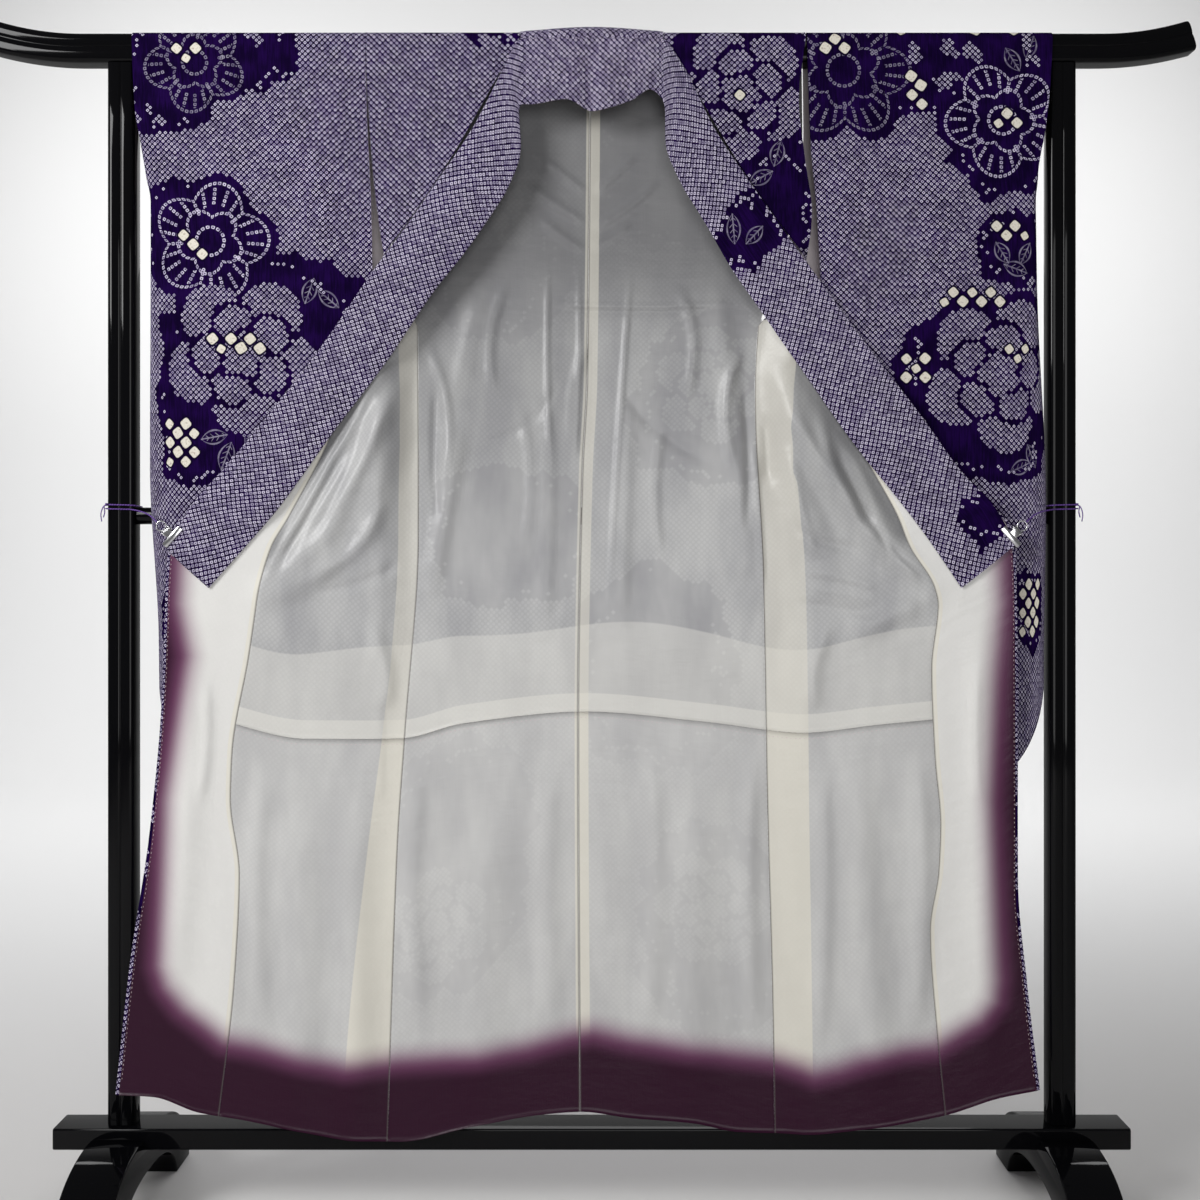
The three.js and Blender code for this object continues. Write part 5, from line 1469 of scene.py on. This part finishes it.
# %% [markdown]
# The collar is one long folded band. It lies along the opened fronts, and crosses behind the neck
# over the bar, where its middle keeps the crease of being put away folded. It is made here as one
# strip from its left end to its right end, thick in the middle and rounded at both edges, and the
# stretch over the bar is a second closed strip of the same piece.

# %% Collar
NECK = SimpleNamespace(half=105, behind=14, puff=5, crease_x=-1, crease_wide=9, crease_deep=6)
COLLAR_WALL = 2.4
neck_free = through(NECK_EDGE, "x", "z")


def collar_place(side):
    read, long = side.collar, side.collar_long

    def place(u, v):
        run = v * long
        x = side.sign * mix(read["ax"](run), read["bx"](run), u)
        z = mix(read["az"](run), read["bz"](run), u)
        bulge = 2.5 * np.sin(np.pi * clamp01(u)) * ease(run / 70)
        free = mix(read["ay"](run), read["by"](run), u) - bulge
        rest = cloth_depth(x, z) - 2.5 - COLLAR_WALL / 2
        past = np.abs(x) - side.back_x(z)
        lies = np.where(z < 1420, ease((past + 25) / 50), 0)
        return np.stack([x, mix(free, np.minimum(free, rest), lies), z], axis=-1)

    return place


def neck_place(u, v):
    x = mix(-NECK.half, NECK.half, u)
    out = 2.1 + 5.6 * np.cos(np.pi / 2 * clamp01(np.abs(x / NECK.half))) ** 1.4
    bend = WRAP_BEND + out
    crease = np.exp(-(((x - NECK.crease_x) / NECK.crease_wide) ** 2))
    turn, fore = clamp01(1 - v / 0.4) * np.pi / 2, clamp01((v - 0.6) / 0.4) * np.pi / 2
    flat = mix(WRAP_FLAT, -WRAP_FLAT, clamp01((v - 0.4) / 0.2))
    over_y = flat + bend * np.sin(turn) - bend * np.sin(fore)
    over_z = CLOTH_TOP + out - bend * (1 - np.cos(turn)) - bend * (1 - np.cos(fore))
    fall = v - 1
    soft = ease(fall * 1.5)
    fall_y = -WRAP_FLAT - 13.7 - 7 * fall - NECK.puff * np.sin(np.pi * clamp01(u)) * soft
    fall_y = fall_y + NECK.crease_deep * crease * soft
    fall_z = mix(CLOTH_TOP + out - bend, neck_free(x), fall)
    y = np.where(v < 0, WRAP_FLAT + bend, np.where(v < 1, over_y, fall_y))
    z = np.where(v < 0, CLOTH_TOP + out - bend + v * NECK.behind, np.where(v < 1, over_z, fall_z))
    return np.stack([x, y, z], axis=-1)


print("collar", COLLAR_WALL, "mm thick in its solid")

# %% Collar as one strip
rim = np.array([0, 0.004, 0.012, 0.025])
band_us = np.r_[rim, np.linspace(0.025, 0.975, 20)[1:-1], 1 - rim[::-1]]
stretch = rows_of(0, 1, 110)
left = collar_place(LEFT)(*np.meshgrid(band_us, stretch[::-1]))
right = collar_place(RIGHT)(*np.meshgrid(band_us, stretch))
neck_u, neck_v = np.meshgrid(band_us, np.linspace(0.01, 0.99, 60))
strip = np.concatenate([left, neck_place(neck_v, 1 + neck_u), right])
for _ in range(3):
    strip[1:-1] = strip[1:-1] * 0.5 + (strip[2:] + strip[:-2]) * 0.25
du, dv = np.gradient(strip, axis=1), np.gradient(strip, axis=0)
normal = np.cross(du, dv)
normal /= np.linalg.norm(normal, axis=-1, keepdims=True)
if normal[..., 1].mean() > 0:
    normal = -normal
across, along = cut_lengths(strip)
edge = np.minimum(across, across[:, -1:] - across) / 2.2
thick = 1.05 * np.sqrt(np.maximum(0.03, 1 - (1 - clamp01(edge)) ** 2))[..., None]
rows, cols = strip.shape[:2]
points = np.r_[(strip + normal * thick).reshape(-1, 3), (strip - normal * thick).reshape(-1, 3)]
faces = outward(points, shell_faces(rows, cols))
even = np.broadcast_to(along.mean(1, keepdims=True), along.shape)
flat = np.stack([across, even], axis=-1).reshape(-1, 2)
band = (points, faces)
print("band", rows, "by", cols, "points")

# %% Collar over the bar
us, vs = np.linspace(0, 1, 60), np.r_[-1, np.linspace(0, 1, 22), 1.02]
at, n = surface(neck_place, us, vs, 1)
if n[..., 2].mean() < 0:
    n = -n
thin = 0.35 + 0.65 * ease((1 - np.abs(2 * us - 1)) / 0.12)[None, :, None]
over = np.r_[(at + n * thin).reshape(-1, 3), (at - n * thin).reshape(-1, 3)]
over = (over, outward(over, shell_faces(len(vs), len(us))))
oa, ol = cut_lengths(at.transpose(1, 0, 2))
over_uv = np.stack([oa, ol + 940], axis=-1).transpose(1, 0, 2).reshape(-1, 2)
points, faces = joined(band, over)
collar = put("silk_collar", points, faces, SILK["collar"].material, "shell",
             uv=np.r_[flat, flat, over_uv, over_uv])
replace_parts(collar, "collar_left", "collar_neck", "collar_right")
area = flat_area(strip) + flat_area(at)

# %% [markdown]
# A sleeve is one length folded over the bar: its front and back hang together, closed along the
# foot and up the outer side to the cuff, and open along the inner side. It is one sheet from the
# foot of its back, over the bar, to the foot of its front. Near the sewn edges the two layers are
# drawn together on a round, as a pressed seam is. The inner face is the pale lining.

# %% Sleeves
CUFF, SLEEVE_FOOT, CORNER_WIDE, CORNER_TALL = 230, 632, 100, 160
WRAP_SHARE, SEWN_ROUND, SLEEVE_REACH = 0.06, 9, 40


def sleeve_place(side):
    def across_x(u, z):
        return mix(side.sleeve_in(z), side.sleeve_out(z), u)

    def foot_z(x):
        into = clamp01(1 - (side.sleeve_out(SLEEVE_FOOT + CORNER_TALL) - x) / CORNER_WIDE)
        return SLEEVE_FOOT + CORNER_TALL * (1 - np.sqrt(np.maximum(0, 1 - into * into)))

    def place(u, v):
        far, facing = np.abs(v), np.where(v > 0, -1, 1)
        bar_y, bar_z = over_bar(np.maximum(0, WRAP_RUN * far / WRAP_SHARE))
        foot = foot_z(across_x(u, SLEEVE_FOOT + 80.0))
        z = mix(SHOULDER_Z, foot, (far - WRAP_SHARE) / (1 - WRAP_SHARE))
        wave = ease((1735 - z) / 200) * ease(u / 0.15) * ease((1 - u) / 0.15)
        wave = wave * 1.3 * (1 - np.cos(2 * np.pi * (2.2 * u + 0.15)))
        front, back = sleeve_front(z) - wave, sleeve_back(z)
        x = across_x(u, np.maximum(z, SLEEVE_FOOT))
        reach = np.minimum(side.sleeve_in(z) - side.back_x(z) - 1.5, SLEEVE_REACH)
        reach = reach * ease((z - 1340) / 60)
        x = x - np.where(facing > 0, np.maximum(0, reach) * (1 - u) ** 4, 0)
        sewn = ease((CLOTH_TOP - CUFF + 18 - z) / 36)
        to_side = clamp01((across_x(1.0, z) - x) / SEWN_ROUND)
        round_side = mix(1, np.sqrt(1 - (1 - to_side) ** 2 + 1e-4), sewn)
        to_foot = clamp01((z - foot) / SEWN_ROUND)
        open_ = round_side * np.sqrt(1 - (1 - to_foot) ** 2 + 1e-4)
        hang = np.where(facing < 0, front, back)
        y = mix((front + back) / 2 + facing * 0.9, hang, open_)
        on_bar = far <= WRAP_SHARE
        return np.stack([
            side.sign * np.where(on_bar, across_x(u, SHOULDER_Z), x),
            np.where(on_bar, facing * bar_y, y), np.where(on_bar, bar_z, z),
        ], axis=-1)

    return place


for name, side in (("left", LEFT), ("right", RIGHT)):
    us = np.unique(np.r_[0, 0.004, np.linspace(0.01, 0.95, 48), np.linspace(0.95, 0.97, 4),
                         1 - np.array([0.025, 0.02, 0.015, 0.01, 0.006, 0.003, 0.001, 0])])
    fall = np.r_[np.linspace(0, WRAP_SHARE, 10), rows_of(WRAP_SHARE, 0.985, 130)[1:],
                 [0.989, 0.993, 0.996, 0.998, 0.9992, 1]]
    vs = np.r_[-fall[:0:-1], fall]
    at, normal = surface(sleeve_place(side), us, vs, side.sign)
    across, along = cut_lengths(at)
    along = along - along[len(fall) - 1]
    made = cloth(f"silk_sleeve_{name}", at, normal, -0.1, -0.85, INSIDE.material, (across, along),
                 replaces=[f"sleeve_{k}_{name}" for k in ("front", "back", "edge")])
    made.data.materials.append(SILK[f"sleeve_{name}"].material)
    half = at.shape[0] * at.shape[1]
    kinds = [0 if max(p.vertices) < half else 1 for p in made.data.polygons]
    made.data.polygons.foreach_set("material_index", kinds)
    wide = float(np.median(across[:, -1]))
    float(np.ptp(along))
    flat_area(at)
    print("sleeve", name, round(wide), "by", round(float(np.ptp(along))), "mm")

# %% [markdown]
# A spring clip has two jaws of bent plate, a barrel with a coiled spring, and a ring to tie the
# cord to. It is built level and then tipped, as its solid is, so it points along its cord.

# %% Clips
chrome = Look("bright_chrome", base_color=(0.72, 0.72, 0.74, 1), metallic=1.0, roughness=0.16)
chrome.bump(chrome.noise(chrome.place(), 60, 2), 0.0002, 0.3)
CLIP = SimpleNamespace(x=604, y=-47.2, z=995, tip=np.radians(48), jaw=35, arm=12, plate=1.6,
                       grip=8.2, barrel=12.5, barrel_long=14, ring=23.6, ring_radius=7)


def bar_of(x0, x1, y0, y1, z0, z1, soft=0.5):
    """A block with eased edges, as rings along z."""
    w, d = (x1 - x0) / 2, (y1 - y0) / 2
    corner = np.radians(np.linspace(0, 90, 4))
    quarter = np.stack([w - soft + soft * np.cos(corner), d - soft + soft * np.sin(corner)], axis=1)
    flat = np.r_[quarter, (quarter * (-1, 1))[::-1], quarter * (-1, -1), (quarter * (1, -1))[::-1]]
    levels = [(z0, 0.94), (z0 + soft, 1), (z1 - soft, 1), (z1, 0.94)]
    middle = np.array([(x0 + x1) / 2, (y0 + y1) / 2])
    return loft([np.c_[middle + flat * k, np.full(len(flat), z)] for z, k in levels])


def ring_of(middle, radius, wire, plane="xz", steps=36):
    turn = np.linspace(0, 2 * np.pi, steps + 1)
    a, b = np.cos(turn) * radius, np.sin(turn) * radius
    flat = {"xz": np.c_[a, 0 * a, b], "yz": np.c_[0 * a, a, b]}[plane]
    return loft(swept(flat + middle, wire, 10))


for name, side in (("left", LEFT), ("right", RIGHT)):
    parts = []
    front, back = -CLIP.grip / 2 - CLIP.plate, CLIP.grip / 2
    for y, lip in ((front, 0.7), (back, -0.7)):
        parts.append(bar_of(-CLIP.jaw / 2, CLIP.jaw / 2, y, y + CLIP.plate, -4, 4))
        parts.append(bar_of(-CLIP.jaw / 2, CLIP.jaw / 2, y + lip, y + CLIP.plate + lip, -4.4, -2.6))
        parts.append(bar_of(-CLIP.arm / 2, CLIP.arm / 2, y, y + CLIP.plate, 3, CLIP.barrel))
    radius = CLIP.grip / 2 + CLIP.plate
    coil_turn = np.linspace(0, 2 * np.pi * 5, 150)
    coil = np.c_[np.linspace(-4.6, 4.6, 150), np.cos(coil_turn) * (radius - 1.4),
                 CLIP.barrel + np.sin(coil_turn) * (radius - 1.4)]
    parts.append(loft(swept(coil, 0.9, 8)))
    for x in (-CLIP.barrel_long / 2 + 0.8, CLIP.barrel_long / 2 - 0.8):
        parts.append(ring_of((x, 0, CLIP.barrel), radius - 1.2, 1.1, "yz"))
    parts.append(ring_of((0, 0, CLIP.ring), CLIP.ring_radius, 1.0))
    points, faces = joined(*parts)
    c, s = np.cos(side.sign * CLIP.tip), np.sin(side.sign * CLIP.tip)
    x, y, z = points.T
    points = np.c_[x * c + z * s, y, z * c - x * s] + (side.sign * CLIP.x, CLIP.y, CLIP.z)
    made = put(f"spring_clip_{name}", points, faces, chrome.material, "chrome")
    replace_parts(made, f"clip_{name}")
print("clips ready")

# %% [markdown]
# The studio is a seamless pale floor that bends up into a far wall. A large light over the front
# left gives the silk its slow shading, a wider one fills from the front, two wash the wall behind
# the stand, and a soft one lights the back. The paper's colour is painted darker on the floor than
# on the wall, as painted shade, and the pale room itself is what the black lacquer mirrors.

# %% Studio
paper = Look("studio_paper", roughness=0.6)
# Painted shade: the paper is darker on the floor and lighter up the wall.
away = paper.node("ShaderNodeSeparateXYZ", inputs=[paper.place()])
away = Val(paper, away.socket.node.outputs[1]) + Val(paper, away.socket.node.outputs[2]) * 2
paper.set("Base Color", paper.blend(away.smooth(-0.4, 1.9), (0.60, 0.588, 0.58), (0.80, 0.80, 0.80)))
PAPER = SimpleNamespace(half=9.0, near=-6.0, flat_to=3.6, bend=1.8, top=7.0)  # metres
turn = np.radians(np.linspace(0, 90, 14))[1:]
sweep = [(PAPER.near, 0.0), (PAPER.flat_to, 0.0)]
sweep += [(PAPER.flat_to + PAPER.bend * np.sin(t), PAPER.bend * (1 - np.cos(t))) for t in turn]
sweep += [(PAPER.flat_to + PAPER.bend, PAPER.top)]
points = [(x, y, z) for y, z in sweep for x in (-PAPER.half, PAPER.half)]
faces = [(2 * i, 2 * i + 1, 2 * i + 3, 2 * i + 2) for i in range(len(sweep) - 1)]
mesh = bpy.data.meshes.new("studio_floor")
mesh.from_pydata(points, [], faces)
mesh.polygons.foreach_set("use_smooth", [True] * len(faces))
mesh.materials.append(paper.material)
floor = bpy.data.objects.new("studio_floor", mesh)
bpy.context.scene.collection.objects.link(floor)

room = bpy.data.worlds.new("pale_room")
room.use_nodes = True
room.node_tree.nodes["Background"].inputs["Color"].default_value = (1, 1, 1, 1)
room.node_tree.nodes["Background"].inputs["Strength"].default_value = 0.14
bpy.context.scene.world = room
bpy.context.scene.view_settings.view_transform = "Standard"
for name, where, aim, size, power in (
    ("key", (-2.5, -2.2, 2.5), (0.1, 0, 0.9), 1.4, 95),
    ("front", (0.6, -4.6, 1.3), (0, 0, 0.9), 2.4, 56),
    ("wall_left", (-2.6, 2.6, 3.3), (-1.2, 5.0, 1.7), 2.0, 81),
    ("wall_right", (2.6, 2.6, 3.3), (1.2, 5.0, 1.7), 2.0, 75),
    ("back", (0.4, 3.2, 3.1), (0, 0.6, 0.2), 2.4, 34),
):
    lamp = bpy.data.lights.new(name, "AREA")
    lamp.size, lamp.energy = size, power
    lit = bpy.data.objects.new(name, lamp)
    lit.location = where
    lit.rotation_euler = (Vector(aim) - Vector(where)).to_track_quat("-Z", "Y").to_euler()
    bpy.context.scene.collection.objects.link(lit)
print("studio lit")
